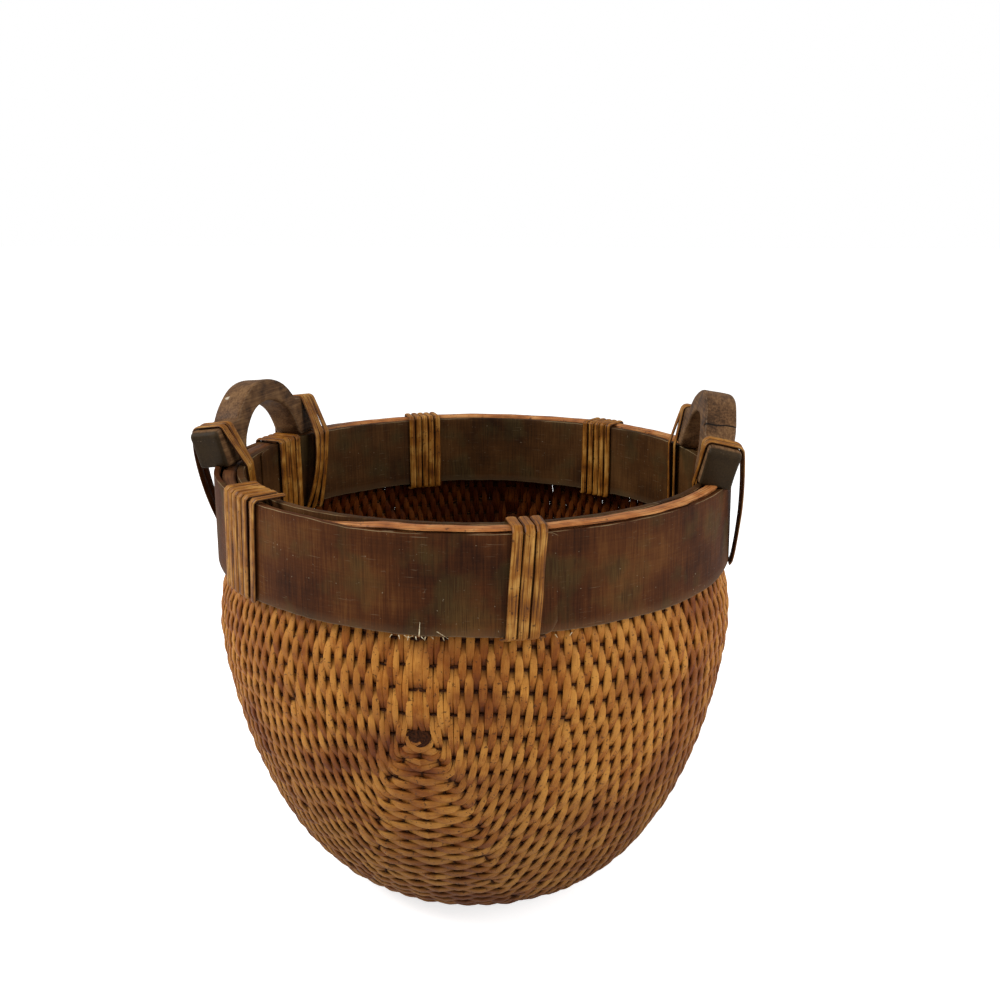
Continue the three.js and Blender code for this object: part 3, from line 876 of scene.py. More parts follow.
OUTER_LIFT = [
    (-180, 1.0), (-165, 1.5), (-150, 2.6), (-112, 2.6), (-103, 0.0), (60, 0.0), (120, 0.2), (180, 1.0)]
INNER_LIFT = [(-180, 0.4), (-130, 1.5), (-90, 1.9), (-50, 1.5), (0, 0.4), (90, -1.0), (180, 0.4)]
BULGE = [(-180, 1.2), (-166, 2.4), (-155, 1.8), (-145, 0.0), (170, 0.0), (180, 1.2)]
OUTER_THICKNESS, INNER_THICKNESS = 4.2, 5.5
OUTER_SEAT, INNER_FACE = 222.0, 199.6
BAND_HEIGHT, INNER_HEIGHT, OUTER_FLARE = 73.4, 70.7, 1.9
LAP_STEP = LAP_END_THICKNESS + LAP_GAP
OUTER_BOARD_FOOT = RIM_HEIGHT - BAND_HEIGHT
OUTER_BOARD_FACE = OUTER_SEAT + OUTER_FLARE + LAP_STEP
outer_board = bend_board(
    "outer_board", OUTER_SEAT - OUTER_THICKNESS, OUTER_THICKNESS, BAND_HEIGHT, OUTER_FLARE,
    lap_end=-65, stacked=1, top_lift=OUTER_LIFT, bulge=BULGE)
inner_board = bend_board(
    "inner_board", INNER_FACE + INNER_THICKNESS, INNER_THICKNESS, INNER_HEIGHT, 0.0,
    lap_end=182, stacked=-1, top_lift=INNER_LIFT, bulge=[(0, 0.0)])

# %% [markdown]
# The boards are hardwood under an old dark stain. Planes and years have left fine upright and
# level scratches, pale specks, and scuffs like dried paint, and the edges have gone grey. The
# scratches are noise that is stretched along one direction and squeezed in the other.

# %% Stained board
def board_wood(name, dark, mid, light, grey):
    wood, tree, shader = new_material(name, 0.6, Specular_IOR_Level=0.1)
    board_place = add(tree, "Attribute", {"attribute_name": "board"}).outputs["Vector"]
    split = add(tree, "SeparateXYZ", Vector=board_place)
    flat = add(tree, "CombineXYZ", X=split.outputs["X"], Y=split.outputs["Y"]).outputs[0]
    where = add(tree, "TexCoord").outputs["Object"]

    def streaks(long, high, detail=4.0):
        space = add(tree, "Mapping", Vector=flat, Scale=(1 / (long * MM), 1 / (high * MM), 1))
        noise = add(tree, "TexNoise", Vector=space.outputs[0], Scale=1.0, Detail=detail, Roughness=0.6)
        return noise.outputs["Fac"]

    patch, cloud, fleck = (
        add(tree, "TexNoise", Vector=where, Scale=1 / (size * MM), Detail=detail).outputs["Fac"]
        for size, detail in ((48, 5.0), (30, 3.0), (2.6, 2.0)))
    upright, level, scuff = streaks(1.5, 40), streaks(70, 1.6), streaks(7, 2.2, 6.0)
    scratch, line = streaks(26, 0.7, 2.0), streaks(0.8, 30, 2.0)
    fine = add(tree, "Math", {"operation": "MULTIPLY_ADD"}, i0=level, i1=0.3, i2=upright)
    summed = add(tree, "Math", {"operation": "MULTIPLY_ADD"}, i0=patch, i1=1.7, i2=fine.outputs[0])
    base = add(tree, "MapRange", Value=summed.outputs[0], From_Min=0.95, From_Max=2.05)
    body = add(tree, "ValToRGB", Fac=base.outputs[0], stops=[(0.1, dark), (0.5, mid), (0.95, light)])
    lined = add(tree, "Math", {"operation": "MULTIPLY"}, i0=line, i1=cloud)
    ragged = add(tree, "Math", {"operation": "MULTIPLY_ADD"}, i0=upright, i1=0.03, i2=split.outputs["Z"])
    facing = add(tree, "NewGeometry").outputs["True Normal"]
    steep = add(tree, "SeparateXYZ", Vector=facing).outputs["Z"]
    corner = add(tree, "ValToRGB", Fac=steep, stops=[(0.15, 0.0), (0.4, 1.0), (0.85, 0.8), (0.97, 0.25)])
    broken = add(tree, "Math", {"operation": "MULTIPLY"}, i0=corner.outputs["Color"], i1=patch)
    colour = body.outputs["Color"]
    for share, stops, tint in (
        (cloud, [(0.5, 0.0), (0.68, 0.55)], grey),
        (lined.outputs[0], [(0.33, 0.0), (0.4, 0.55)], dark),
        (scuff, [(0.63, 0.0), (0.72, 0.35)], "#7d6a52"),
        (scratch, [(0.69, 0.0), (0.73, 0.5)], "#8d7a60"),
        (fleck, [(0.735, 0.0), (0.775, 0.55)], "#a8967a"),
        (ragged.outputs[0], [(0.012, 0.7), (0.03, 0.15), (0.12, 0.0)], "#8a7558"),
        (broken.outputs[0], [(0.4, 0.0), (0.52, 0.8)], "#a08a66"),
    ):
        colour = layer(tree, colour, share, stops, tint)
    rough = add(tree, "MapRange", Value=scuff, To_Min=0.5, To_Max=0.75)
    relief = add(tree, "Math", {"operation": "ADD"}, i0=fine.outputs[0], i1=scuff)
    ridge = add(tree, "Bump", Height=relief.outputs[0], Strength=0.35, Distance=0.4 * MM)
    wire(tree, shader, colour, rough, ridge)
    return wood


outer_wood = board_wood(
    "bent hardwood, dark stain, planed and scratched", "#2f1607", "#502a10", "#704620", "#4e4020")
inner_wood = board_wood(
    "bent hardwood, dark stain, worn inside", "#2b180a", "#492c12", "#644221", "#4b3e22")
settle(outer_board, "band_wood", outer_wood, "outer_rim_band")
settle(inner_board, "band_wood", inner_wood, "inner_rim_band")

# %% [markdown]
# Under the outer board, above the seam, the wood has frayed into pale splinters, and two cut
# cord ends show farther right. Each is one thin cone, put at the board's lower edge as listed:
# the place along the front, the height of its thick end, and the way that its tip goes. Raw
# wood is pale, dry and dull, and its noise of 1.2 mm is coarser than its fibres, so it shows.

# %% Splinters
SPLINTERS = [
    (-17, 0.4, (-1.5, -2.2)), (-12, 0.2, (0.8, -2.6)), (-8, 0.5, (2.4, -1.6)), (-5, 0.1, (-0.6, -3.0)),
    (-2, 0.4, (-2.6, -1.2)), (0, 0.2, (0.7, -2.4)), (2.5, 0.3, (0.9, 11.0)), (4, 0.3, (2.0, -2.0)),
    (7, 0.2, (-0.8, -2.4)), (11, 0.5, (1.8, -1.5)), (15, 4.5, (8.0, -5.0)), (19, 0.3, (1.0, -2.2)),
    (94, -0.6, (1.6, -2.2)), (105, -0.6, (-1.2, -2.0))]

deselect()
for place, lift, (aside, down) in SPLINTERS:
    bpy.ops.mesh.primitive_cone_add(vertices=5, radius1=0.55 * MM, radius2=0.12 * MM, depth=1)
    splinter = bpy.context.object
    points = points_of(splinter)
    share = points[:, 2] + 0.5
    x = points[:, 0] / MM + place + aside * share
    z = OUTER_BOARD_FOOT + lift + down * share + points[:, 1] / MM * 0.6
    reach = OUTER_BOARD_FACE + 0.3 + points[:, 1] / MM * 0.5 + 0.5 * share
    set_points(splinter, np.stack([x, -np.sqrt(reach ** 2 - x ** 2), z], 1) * MM)
bpy.ops.object.select_all(action="DESELECT")
for piece in bpy.context.scene.objects:
    if piece.name.startswith("Cone"):
        piece.select_set(True)
        bpy.context.view_layer.objects.active = piece
bpy.ops.object.join()
splinters = named("splinters")
face_outwards(splinters)
splinter_wood = fibre_finish(
    "raw split wood, pale and dry", gloss=0.15, size=1.2, bump_size=0.2, strength=0.3,
    stops=[(0.35, "#a8895c"), (0.6, "#e6d6b4")])
settle(splinters, "band_wood", splinter_wood, "outer_rim_band")
print("splinters:", len(SPLINTERS))

# %% [markdown]
# Between the boards lies a split cane that covers the cut ends of the rods. It is one profile
# spun round the basket's axis: its foot stands between the boards, and its crown swells over
# the outer board's top. Afterwards its points are moved, because on the left the crown sinks
# between the boards, and on the right it is narrower. On the left the crown is also painted
# dark, as painted shade where it lies sunk between the boards.

# %% Filler cane
FILLER_MIDDLE, FILLER_STEPS = 211.5, 360
FILLER_PROFILE = [
    (206.3, 359.5), (216.9, 359.5), (217.1, 366.0), (217.2, 370.3), (219.4, 371.3), (220.3, 372.0),
    (219.6, 372.8), (217.4, 373.3), (213.5, 373.5), (209.8, 373.2), (207.4, 372.3), (206.2, 370.6),
    (206.1, 366.0)]
CROWN_DROP = [
    (-180, 3.0), (-150, 4.2), (-108, 4.2), (-97, 0.0), (20, 0.4), (60, 1.6), (130, 1.6), (180, 3.0)]
CROWN_START = [
    (-180, 206.0), (-100, 206.0), (-60, 208.0), (-25, 210.0), (20, 210.0), (70, 208.0), (180, 206.0)]
# Painted shade: how dark the crown is painted round the rim, where it sinks between the boards.
CROWN_SHADE = [
    (-180, 0.95), (-150, 0.95), (-125, 0.7), (-105, 0.3), (-98, 0.0), (110, 0.0), (150, 0.7), (180, 0.95)]
CROWN_REACH = [
    (-180, 0.0), (-103, 0.0), (-97, 1.0), (-34, 1.0), (-32, 0.4), (20, 0.4), (60, 0.2), (180, 0.0)]

deselect()
bpy.ops.mesh.primitive_circle_add(vertices=len(FILLER_PROFILE), radius=1, fill_type="NOTHING")
filler = named("filler_strip")
set_points(filler, np.array([(radius, 0, height) for radius, height in FILLER_PROFILE]) * MM)
activate(filler)
bpy.ops.object.mode_set(mode="EDIT")
bpy.ops.mesh.select_all(action="SELECT")
bpy.ops.mesh.spin(steps=FILLER_STEPS, angle=2 * math.pi, center=(0, 0, 0), axis=(0, 0, 1))
bpy.ops.mesh.select_all(action="SELECT")
bpy.ops.mesh.remove_doubles(threshold=0.02 * MM)
bpy.ops.object.mode_set(mode="OBJECT")
face_outwards(filler)
bpy.ops.object.shade_smooth_by_angle(angle=math.radians(50))
points = points_of(filler) / MM
turned = np.arctan2(points[:, 1], points[:, 0])
radius, height = np.hypot(points[:, 0], points[:, 1]), points[:, 2]
upper = np.clip((height - 362) / 6, 0, 1)
drop = round_rim(np.degrees(turned), CROWN_DROP) + 0.25 * np.sin(turned * 9 + 1) + 0.15 * np.sin(turned * 31)
beyond = np.clip(radius - 217.2, 0, None)
radius = radius - beyond * (1 - round_rim(np.degrees(turned), CROWN_REACH))
radius = radius + 0.2 * np.sin(turned * 47) * (beyond > 1)
height = height - drop * upper
radius = np.where(upper > 0, np.maximum(radius, round_rim(np.degrees(turned), CROWN_START)), radius)
set_points(filler, np.stack([radius * np.cos(turned), radius * np.sin(turned), height], 1) * MM)
across = (radius * 0.8 - height) * MM
shade = round_rim(np.degrees(turned), CROWN_SHADE)
set_attribute(filler, "grain", np.stack([turned * FILLER_MIDDLE * MM, across, shade], 1))
print("filler", len(filler.data.polygons), "faces")

# %% [markdown]
# Split cane is the glossy skin of rattan. It is honey brown, with fine dark lines along its
# length and dark dots. A strip's sides and underside are painted darker, as painted shade, so
# its crown looks brighter, and the filler is painted dark where it sinks, as painted shade.

# %% Cane
def cane_finish(name, stops, dark, gloss):
    cane, tree, shader = new_material(name, gloss, Specular_IOR_Level=0.25)
    grain_place = add(tree, "Attribute", {"attribute_name": "grain"}).outputs["Vector"]
    fine = add(tree, "Mapping", Vector=grain_place, Scale=(1 / (45 * MM), 1 / (0.9 * MM), 1))
    lines = add(tree, "TexNoise", Vector=fine.outputs[0], Scale=1.0, Detail=3.0, Roughness=0.55)
    where = add(tree, "TexCoord").outputs["Object"]
    blotch = add(tree, "TexNoise", Vector=where, Scale=1 / (16 * MM), Detail=4.0)
    dot = add(tree, "TexNoise", Vector=where, Scale=1 / (3.2 * MM), Detail=2.0)
    summed = add(tree, "Math", {"operation": "MULTIPLY_ADD"},
                 i0=blotch.outputs["Fac"], i1=1.1, i2=lines.outputs["Fac"])
    base = add(tree, "MapRange", Value=summed.outputs[0], From_Min=0.68, From_Max=1.42)
    body = add(tree, "ValToRGB", Fac=base.outputs[0], stops=stops)
    # Grain Z is a painted shade: the sides and underside of a strip, and the filler where it sinks.
    painted_shade = add(tree, "SeparateXYZ", Vector=grain_place)
    colour = body.outputs["Color"]
    for share, stops in (
        (lines.outputs["Fac"], [(0.36, 0.85), (0.45, 0.0)]),
        (dot.outputs["Fac"], [(0.64, 0.0), (0.71, 0.75)]),
        (painted_shade.outputs["Z"], [(0.35, 0.0), (0.9, 0.8)]),
    ):
        colour = layer(tree, colour, share, stops, dark)
    rough = add(tree, "MapRange", Value=lines.outputs["Fac"], To_Min=gloss - 0.06, To_Max=gloss + 0.16)
    ridge = add(tree, "Bump", Height=lines.outputs["Fac"], Strength=0.45, Distance=0.3 * MM)
    wire(tree, shader, colour, rough, ridge)
    return cane


lashing_cane = cane_finish("split rattan, glossy skin, honey brown", [
    (0.1, "#603208"), (0.5, "#985d17"), (0.9, "#cc974a")], "#351807", 0.45)
filler_finish = cane_finish("split cane, dry, orange brown", [
    (0.1, "#8a4f26"), (0.5, "#b26d36"), (0.9, "#cf9459")], "#472b19", 0.5)
settle(filler, "filler_cane", filler_finish, "rim_filler_cane")

# %% [markdown]
# Each handle is sawn from one board: an arch with a grip hole and two feet. Its outline is a
# ring of points round half the arch, mirrored. The ring is filled and extruded to the board's
# thickness and its edges are bevelled. A boolean cuts the notch with which it sits over the
# rim, and a fine voxel remesh gives even points, which are moved a little, as a knife and
# hands would have done. Then it is leaned and turned to its place, in its mesh.

# %% Outline of a handle
HANDLE_THICKNESS = 26.0
HANDLE_EDGE = 2.4
HALF_LENGTH, FOOT_HEIGHT, FOOT_RISE, FOOT_UNDERCUT, FOOT_CORNER = 96.0, 33.0, 3.0, 7.0, 5.0
ARCH_HEIGHT, ARCH_HALF, GRIP_HEIGHT, GRIP_HALF, GRIP_FLARE = 62.8, 68.0, 42.5, 51.0, 6.0


def handle_half():
    points = []
    for angle in np.linspace(math.pi / 2, math.pi / 15, 22):
        points.append((GRIP_HALF * math.cos(angle), GRIP_HEIGHT * math.sin(angle)))
    points += [(GRIP_HALF + GRIP_FLARE * 0.35, 3.4), (GRIP_HALF + GRIP_FLARE, 0)]
    points += [(HALF_LENGTH - FOOT_UNDERCUT, 0), (HALF_LENGTH, FOOT_HEIGHT - FOOT_CORNER)]
    points += [(HALF_LENGTH - FOOT_CORNER / 4, FOOT_HEIGHT - FOOT_CORNER / 4)]
    points += [(HALF_LENGTH - FOOT_CORNER, FOOT_HEIGHT)]
    shoulder = math.asin((FOOT_HEIGHT + FOOT_RISE) / ARCH_HEIGHT)
    for angle in np.linspace(shoulder, math.pi / 2, 24):
        points.append((ARCH_HALF * math.cos(angle), ARCH_HEIGHT * math.sin(angle)))
    return points


half_outline = handle_half()
outline = np.array(half_outline + [(-along, up) for along, up in half_outline[-2:0:-1]])
print("outline of a handle:", len(outline), "points")

# %% Handles
CRACK_WIDTH = 0.9
CHIP_SIZE = 2.2


def notch_cutter(place):
    """A disc as wide as the rim, in the frame of a handle that stands on it."""
    deselect()
    bpy.ops.mesh.primitive_cylinder_add(vertices=180, radius=(OUTER_SEAT + 0.6) * MM, depth=FOOT_HEIGHT * MM)
    disc = named("notch_cutter")
    level = Matrix.Translation((0, 0, (RIM_HEIGHT + 0.3 - FOOT_HEIGHT / 2) * MM))
    disc.data.transform(place.inverted() @ level)
    return disc


def carve_handle(name, turn, stand, lean, crack=None, chip=None):
    seated = Matrix.Rotation(turn, 4, "Z") @ Matrix.Translation((stand * MM, 0, RIM_HEIGHT * MM))
    place = seated @ Matrix.Rotation(lean, 4, "Y")
    deselect()
    bpy.ops.mesh.primitive_circle_add(vertices=len(outline), radius=1, fill_type="NGON")
    handle = named(name)
    start = np.stack([0 * outline[:, 0] - HANDLE_THICKNESS / 2, outline[:, 0], outline[:, 1]], 1)
    set_points(handle, start * MM)
    activate(handle)
    bpy.ops.object.mode_set(mode="EDIT")
    bpy.ops.mesh.select_all(action="SELECT")
    bpy.ops.mesh.extrude_region_move(TRANSFORM_OT_translate={"value": (HANDLE_THICKNESS * MM, 0, 0)})
    bpy.ops.object.mode_set(mode="OBJECT")
    face_outwards(handle)
    apply_modifier(handle, "BEVEL", width=HANDLE_EDGE * MM, segments=3,
                   limit_method="ANGLE", angle_limit=math.radians(50))
    disc = notch_cutter(place)
    apply_modifier(handle, "BOOLEAN", operation="DIFFERENCE", object=disc, solver="EXACT")
    bpy.data.objects.remove(disc)
    apply_modifier(handle, "REMESH", mode="VOXEL", voxel_size=1.05 * MM)
    apply_modifier(handle, "SMOOTH", factor=0.5, iterations=2)
    points = points_of(handle) / MM
    normals = np.empty(len(points) * 3)
    handle.data.vertices.foreach_get("normal", normals)
    normals = normals.reshape(-1, 3)
    across, along, up = points.T
    side = np.abs(normals[:, 0])
    flat = np.maximum(side, np.sqrt(np.clip(1 - side ** 2, 0, 1)))
    edge = 0.9 * (1 - np.clip((flat - 0.72) / 0.26, 0, 1))
    sway = 0.3 * np.sin(along / 9 + stand) * np.sin(up / 7) + 0.25 * np.sin(along / 21 + across / 5)
    on_top = np.hypot(along / ARCH_HALF, up / ARCH_HEIGHT) > 0.93
    arch_turn = np.degrees(np.arctan2(up / ARCH_HEIGHT, along / ARCH_HALF))
    undercut = FOOT_UNDERCUT * np.clip(1 - up / (FOOT_HEIGHT - FOOT_CORNER), 0, 1)
    end_share = np.abs(along) / (HALF_LENGTH - undercut)
    split = 0 * along
    if crack is not None:
        waver = 0.5 * np.sin(across / 3) + 0.12 * across
        from_crack = np.abs(np.radians(arch_turn - crack) * 65 + waver)
        split = on_top * np.clip(1 - from_crack / CRACK_WIDTH, 0, 1)
        sway = sway - 1.1 * split
    if chip is not None:
        from_chip = np.hypot(np.radians(arch_turn - chip[0]) * 65, across - chip[1])
        edge = np.where(on_top & (from_chip < CHIP_SIZE), 1.8, edge)
    points = points + normals * sway[:, None]
    set_attribute(handle, "carve", points * MM)
    # The worn values are edge wear, the cut ends, and the crack, which is painted near black as painted
    # shade.
    set_attribute(handle, "worn", np.stack([edge, end_share, split], 1))
    set_points(handle, points * MM)
    handle.data.transform(place)
    handle.data.update()
    handle.data.polygons.foreach_set("use_smooth", [True] * len(handle.data.polygons))
    return handle


left = {"turn": math.radians(175), "stand": 207.0, "lean": math.radians(7)}
right = {"turn": math.radians(5), "stand": 197.5, "lean": math.radians(11)}
left_handle = carve_handle("left_handle", **left, chip=(57, 6))
right_handle = carve_handle("right_handle", **right, crack=136)

# %% [markdown]
# The handles are a dense dark wood, almost black brown, rubbed olive and grey, with paler
# rounded edges and an upright grain on the cut ends.

# %% Handle wood
handle_wood, tree, shader = new_material(
    "carved hardwood, dark, worn by hands", 0.55, Specular_IOR_Level=0.15)
carve = add(tree, "Attribute", {"attribute_name": "carve"}).outputs["Vector"]
worn = add(tree, "SeparateXYZ", Vector=add(tree, "Attribute", {"attribute_name": "worn"}).outputs["Vector"])
long_space = add(tree, "Mapping", Vector=carve, Scale=(1 / (1.4 * MM), 1 / (42 * MM), 1 / (1.4 * MM)))
long_grain = add(tree, "TexNoise", Vector=long_space.outputs[0], Scale=1.0, Detail=5.0, Roughness=0.6)
patch = add(tree, "TexNoise", Vector=carve, Scale=1 / (20 * MM), Detail=5.0, Roughness=0.6)
nick = add(tree, "TexNoise", Vector=carve, Scale=1 / (2.4 * MM), Detail=3.0)
summed = add(tree, "Math", {"operation": "MULTIPLY_ADD"},
             i0=patch.outputs["Fac"], i1=1.6, i2=long_grain.outputs["Fac"])
base = add(tree, "MapRange", Value=summed.outputs[0], From_Min=0.95, From_Max=1.6)
body = add(tree, "ValToRGB", Fac=base.outputs[0], stops=[
    (0.1, "#3e2917"), (0.5, "#67482d"), (0.9, "#856340")])
colour = body.outputs["Color"]
edge_share = add(tree, "Math", {"operation": "MULTIPLY"}, i0=worn.outputs["X"], i1=long_grain.outputs["Fac"])
for share, stops, tint in (
    (edge_share.outputs[0], [(0.2, 0.0), (0.5, 0.6)], "#85705a"),
    (worn.outputs["Y"], [(0.96, 0.0), (0.98, 0.9)], "#2b2111"),
    (nick.outputs["Fac"], [(0.72, 0.0), (0.77, 0.5)], "#8f7c66"),
    (edge_share.outputs[0], [(0.6, 0.0), (0.75, 0.9)], "#cdbba2"),
    # Painted shade: the crack is painted near black, for the shade in its groove.
    (worn.outputs["Z"], [(0.1, 0.0), (0.4, 0.95)], "#140c07"),
):
    colour = layer(tree, colour, share, stops, tint)
rough = add(tree, "MapRange", Value=patch.outputs["Fac"], To_Min=0.45, To_Max=0.7)
ridge = add(tree, "Bump", Height=long_grain.outputs["Fac"], Strength=0.45, Distance=0.5 * MM)
wire(tree, shader, colour, rough, ridge)
settle(left_handle, "handle_wood", handle_wood, "handle_left")
settle(right_handle, "handle_wood", handle_wood, "handle_right")

# %% [markdown]
# Split cane binds the boards and ties the handles. Each winding is one flat strip, wound taut
# round the corners that it passes, so its route is worked out as a tight string finds it: for
# each direction round the loop, the strip lies on the corner that reaches out farthest that
# way. On a handle's foot it turns the corners softly, and outside the boards it has slackened
# into a slight bow. Inside, the left handle's back tie stands off the curved board, each turn a
# little more than the last, so that its turns hang side by side. The strip is crowned on its
# outer side, and sways from turn to turn.

# %% Route of a cane
CANE_THICKNESS, CANE_CLEARANCE, TURN_GAP, TIE_SLACK = 2.2, 0.5, 1.2, 0.3
WIDE, NARROW, TIE = 7.4, 5.8, 8.2
LOOP_STEPS = 240


def foot_point(handle, out, up):
    lean = handle["lean"]
    x = handle["stand"] + out * math.cos(lean) + up * math.sin(lean)
    return (x, RIM_HEIGHT - out * math.sin(lean) + up * math.cos(lean))


def cane_place(winding, turned, height):
    """Place along the rim. A strip moves on to its next turn mostly underneath the boards."""
    top = RIM_HEIGHT + (FOOT_HEIGHT if "handle" in winding else 0)
    down = max((top - height) / (top - OUTER_BOARD_FOOT), 0)
    inside = float(np.interp(turned % 1, [0, 0.14, 0.4, 0.6, 0.86, 1], [0.5, 0, 0, 1, 1, 0.5]))
    slant = winding.get("slant", 0) * down + inside * winding.get("drift", 0) * down ** 0.35
    stray = winding.get("stray", 0) * max(turned - (winding["turns"] - 1), 0)
    part = float(np.interp(turned % 1, [0, 0.14, 0.86, 1], [0, 0.44, 0.56, 1]))
    return winding["start"] + (winding["width"] + TURN_GAP) * (turned // 1 + part) + slant + stray


def rim_corners(winding, turned):
    """Corners of the rim under a strip. Its top ones are rounded off by the winding's bend."""
    half, bend = winding["width"] / 2, winding.get("bend", 0)
    high = RIM_HEIGHT + winding.get("rise", 0)
    outer = OUTER_SEAT + winding.get("outer_lap", 0)
    inner = INNER_FACE - winding.get("inner_lap", 0)
    corners = []
    for radius, height, sign in (
        (outer - bend, high, -1), (outer, high - bend, -1), (outer + OUTER_FLARE, OUTER_BOARD_FOOT, -1),
        (inner + bend, high, 1), (inner, high - bend, 1), (inner, OUTER_BOARD_FOOT, 1),
    ):
        along = max(abs(cane_place(winding, turned, height)) + sign * half, 0)
        corners.append((math.sqrt(radius ** 2 - along ** 2), height))
    return corners


def cane_route(winding):
    """Middle line and outward direction of a winding, in its own frame, 3 mm apart."""
    offset = CANE_CLEARANCE + CANE_THICKNESS / 2
    reach, round_corner = HANDLE_THICKNESS / 2 + TIE_SLACK, 3.5
    middle, facing = [], []
    for sample in range(int(winding["turns"] * LOOP_STEPS) + 1):
        turned = sample / LOOP_STEPS
        angle = math.radians(-90 + 360 * turned)
        out = (math.cos(angle), math.sin(angle))
        corners = [(x, z, 0) for x, z in rim_corners(winding, turned)]
        if "handle" in winding:
            from_end = HALF_LENGTH - FOOT_CORNER - abs(cane_place(winding, turned, RIM_HEIGHT + FOOT_HEIGHT))
            top = FOOT_HEIGHT + FOOT_RISE * min(max(from_end / 35, 0), 1)
            for x, up in ((reach, top), (-reach, top)):
                x, up = x - math.copysign(round_corner, x), up - round_corner
                corners.append((*foot_point(winding["handle"], x, up), round_corner))
        x, z, rounding = max(
            corners, key=lambda corner: corner[0] * out[0] + corner[1] * out[1] + corner[2])
        height = z + (offset + rounding) * out[1]
        middle.append((x + (offset + rounding) * out[0], cane_place(winding, turned, height), height))
        facing.append((out[0], 0, out[1]))
    middle, facing = np.array(middle), np.array(facing)
    far = run_along(middle)
    steps = np.unique(np.concatenate([np.arange(0, far[-1], 3.0), far[::12]]))
    middle, facing = resample(steps, far, middle), resample(steps, far, facing)
    span = (middle[:, 2] - OUTER_BOARD_FOOT) / (RIM_HEIGHT + FOOT_HEIGHT - OUTER_BOARD_FOOT)
    hanging = middle[:, 0] > (INNER_FACE + OUTER_SEAT) / 2
    slack = np.sin(math.pi * np.clip(span, 0, 1)) ** 0.8
    middle[:, 0] += hanging * winding.get("bow", 0) * slack
    stand_off = winding.get("stand_off", 0) * winding["turns"] * steps / steps[-1]
    middle[:, 0] -= (facing[:, 0] < 0) * stand_off * slack
    return middle, unit(facing), steps


# %% [markdown]
# Nine windings hold the rim together: five lashings round the boards, and four ties that go
# over the handles' feet. They could be modelled one by one, but they differ only in their
# numbers, so a table gives them. Turn is a winding's place round the rim in degrees, start the
# place of its first strip along the rim, and turns how often it goes round. Slant moves its
# strips along the rim on their way down on both sides, and drift moves them inside. One
# section is swept along each route.

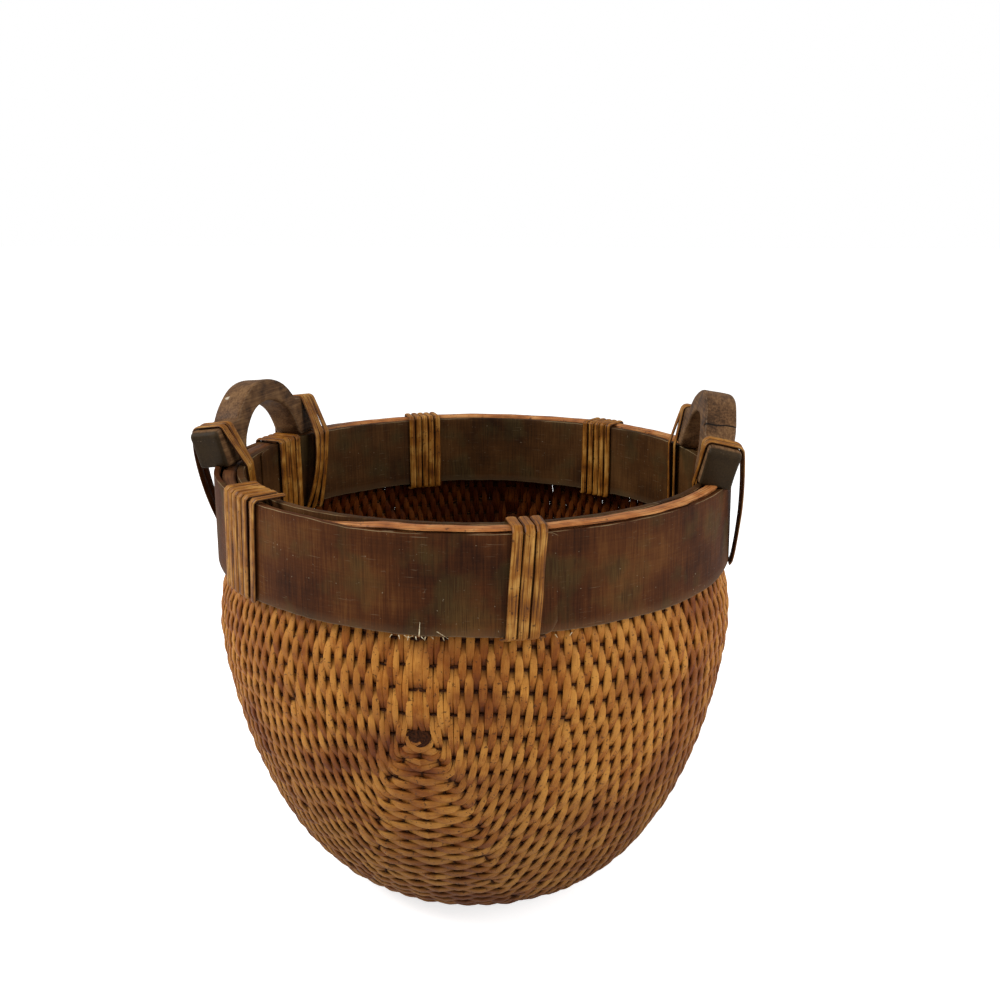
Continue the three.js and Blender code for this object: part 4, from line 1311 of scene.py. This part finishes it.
# %% Windings
WIDE_PITCH, NARROW_PITCH, TIE_PITCH = WIDE + TURN_GAP, NARROW + TURN_GAP, TIE + TURN_GAP
GRIP_TURN = math.degrees(math.asin((GRIP_HALF - 2.5 * WIDE_PITCH) / left["stand"]))
TIE_PLACE = HALF_LENGTH - FOOT_UNDERCUT / 2
front = {"width": WIDE, "rise": 2.6, "bend": 2.4}
front_left = {"width": WIDE, "rise": 4.0, "bend": 1.4}
back = {"width": NARROW, "rise": 0.7, "bend": 0.5}
windings = {
    "rim_lashing_front": {
        "turn": -70, "start": -1.5 * WIDE_PITCH, "turns": 3, "outer_lap": LAP_STEP, "slant": -5, **front},
    "rim_lashing_front_left": {
        "turn": -132.5, "start": -3 * WIDE_PITCH, "turns": 5.62, "slant": -4, "stray": 4, **front_left},
    "rim_lashing_back_left": {"turn": 116.7, "start": -2.5 * NARROW_PITCH, "turns": 5, **back},
    "rim_lashing_back_right": {"turn": 60.8, "start": -2.5 * NARROW_PITCH, "turns": 5, **back},
    "rim_lashing_left": {
        "turn": 175 - GRIP_TURN, "start": -2 * WIDE_PITCH, "turns": 4, "width": WIDE,
        "rise": 1.4, "bend": 1.0, "inner_lap": LAP_STEP},
    "handle_tie_left_back": {
        "turn": 175, "start": -TIE_PLACE, "turns": 2.9, "width": TIE, "handle": left,
        "slant": 9, "drift": 9, "bow": 3, "stand_off": 3.5},
    "handle_tie_right_back": {
        "turn": 5, "start": TIE_PLACE - 2 * TIE_PITCH - TIE / 2, "turns": 2, "width": TIE,
        "handle": right, "slant": -6, "bow": 3},
    "handle_tie_left_front": {
        "turn": 175, "start": TIE_PLACE - 2 * TIE_PITCH - TIE / 2, "turns": 2, "width": TIE,
        "handle": left, "slant": -38, "outer_lap": 2.4, "bow": 8},
    "handle_tie_right_front": {
        "turn": 5, "start": -TIE_PLACE + TIE / 2, "turns": 2, "width": TIE, "handle": right,
        "slant": 38, "bow": 3.5},
}
CANE_SECTION = np.array([
    (-1, -0.35), (-1, 0.0), (-0.86, 0.5), (-0.5, 0.88), (0, 1), (0.5, 0.88),
    (0.86, 0.5), (1, 0.0), (1, -0.35), (0.7, -0.8), (0, -0.9), (-0.7, -0.8)])


def wind_cane(name, winding):
    middle, facing, steps = cane_route(winding)
    count, sides = len(middle), len(CANE_SECTION)
    whole = np.arange(int(steps[-1]) + 2)
    sway = np.interp(steps, whole, wave(steps[-1], 40, 0.3))
    width = winding["width"] / 2 * (1.04 + np.interp(steps, whole, wave(steps[-1], 25, 0.05)))
    thick = CANE_THICKNESS / 2 * (1.1 + np.interp(steps, whole, wave(steps[-1], 15, 0.08)))
    middle = middle + np.stack([0 * sway, sway, 0 * sway], 1)
    section_side, section_lift = CANE_SECTION[None, :, :1], CANE_SECTION[None, :, 1:]
    rings = middle[:, None] + facing[:, None] * (section_lift * thick[:, None, None])
    rings = rings + np.array([0, 1, 0])[None, None] * (section_side * width[:, None, None])
    turn = math.radians(winding["turn"])
    spin = np.array([[math.cos(turn), -math.sin(turn), 0], [math.sin(turn), math.cos(turn), 0], [0, 0, 1]])
    points = rings.reshape(-1, 3) @ spin.T * MM
    title = name.replace("rim_lashing", "cane_lashing").replace("handle_tie", "cane_tie")
    piece = new_mesh(title, points, tube_faces(count, sides, 0))
    across = (CANE_SECTION[:, 0] * winding["width"] / 2 + 40 * winding["turn"]) * MM
    # Painted shade: the sides and underside of the strip are painted darker.
    painted_shade = np.clip(0.85 - CANE_SECTION[:, 1], 0, 1)
    grain = [np.repeat(steps * MM, sides), np.tile(across, count), np.tile(painted_shade, count)]
    set_attribute(piece, "grain", np.stack(grain, 1))
    outward(piece)
    return piece


for name, winding in windings.items():
    settle(wind_cane(name, winding), "cane", lashing_cane, name)
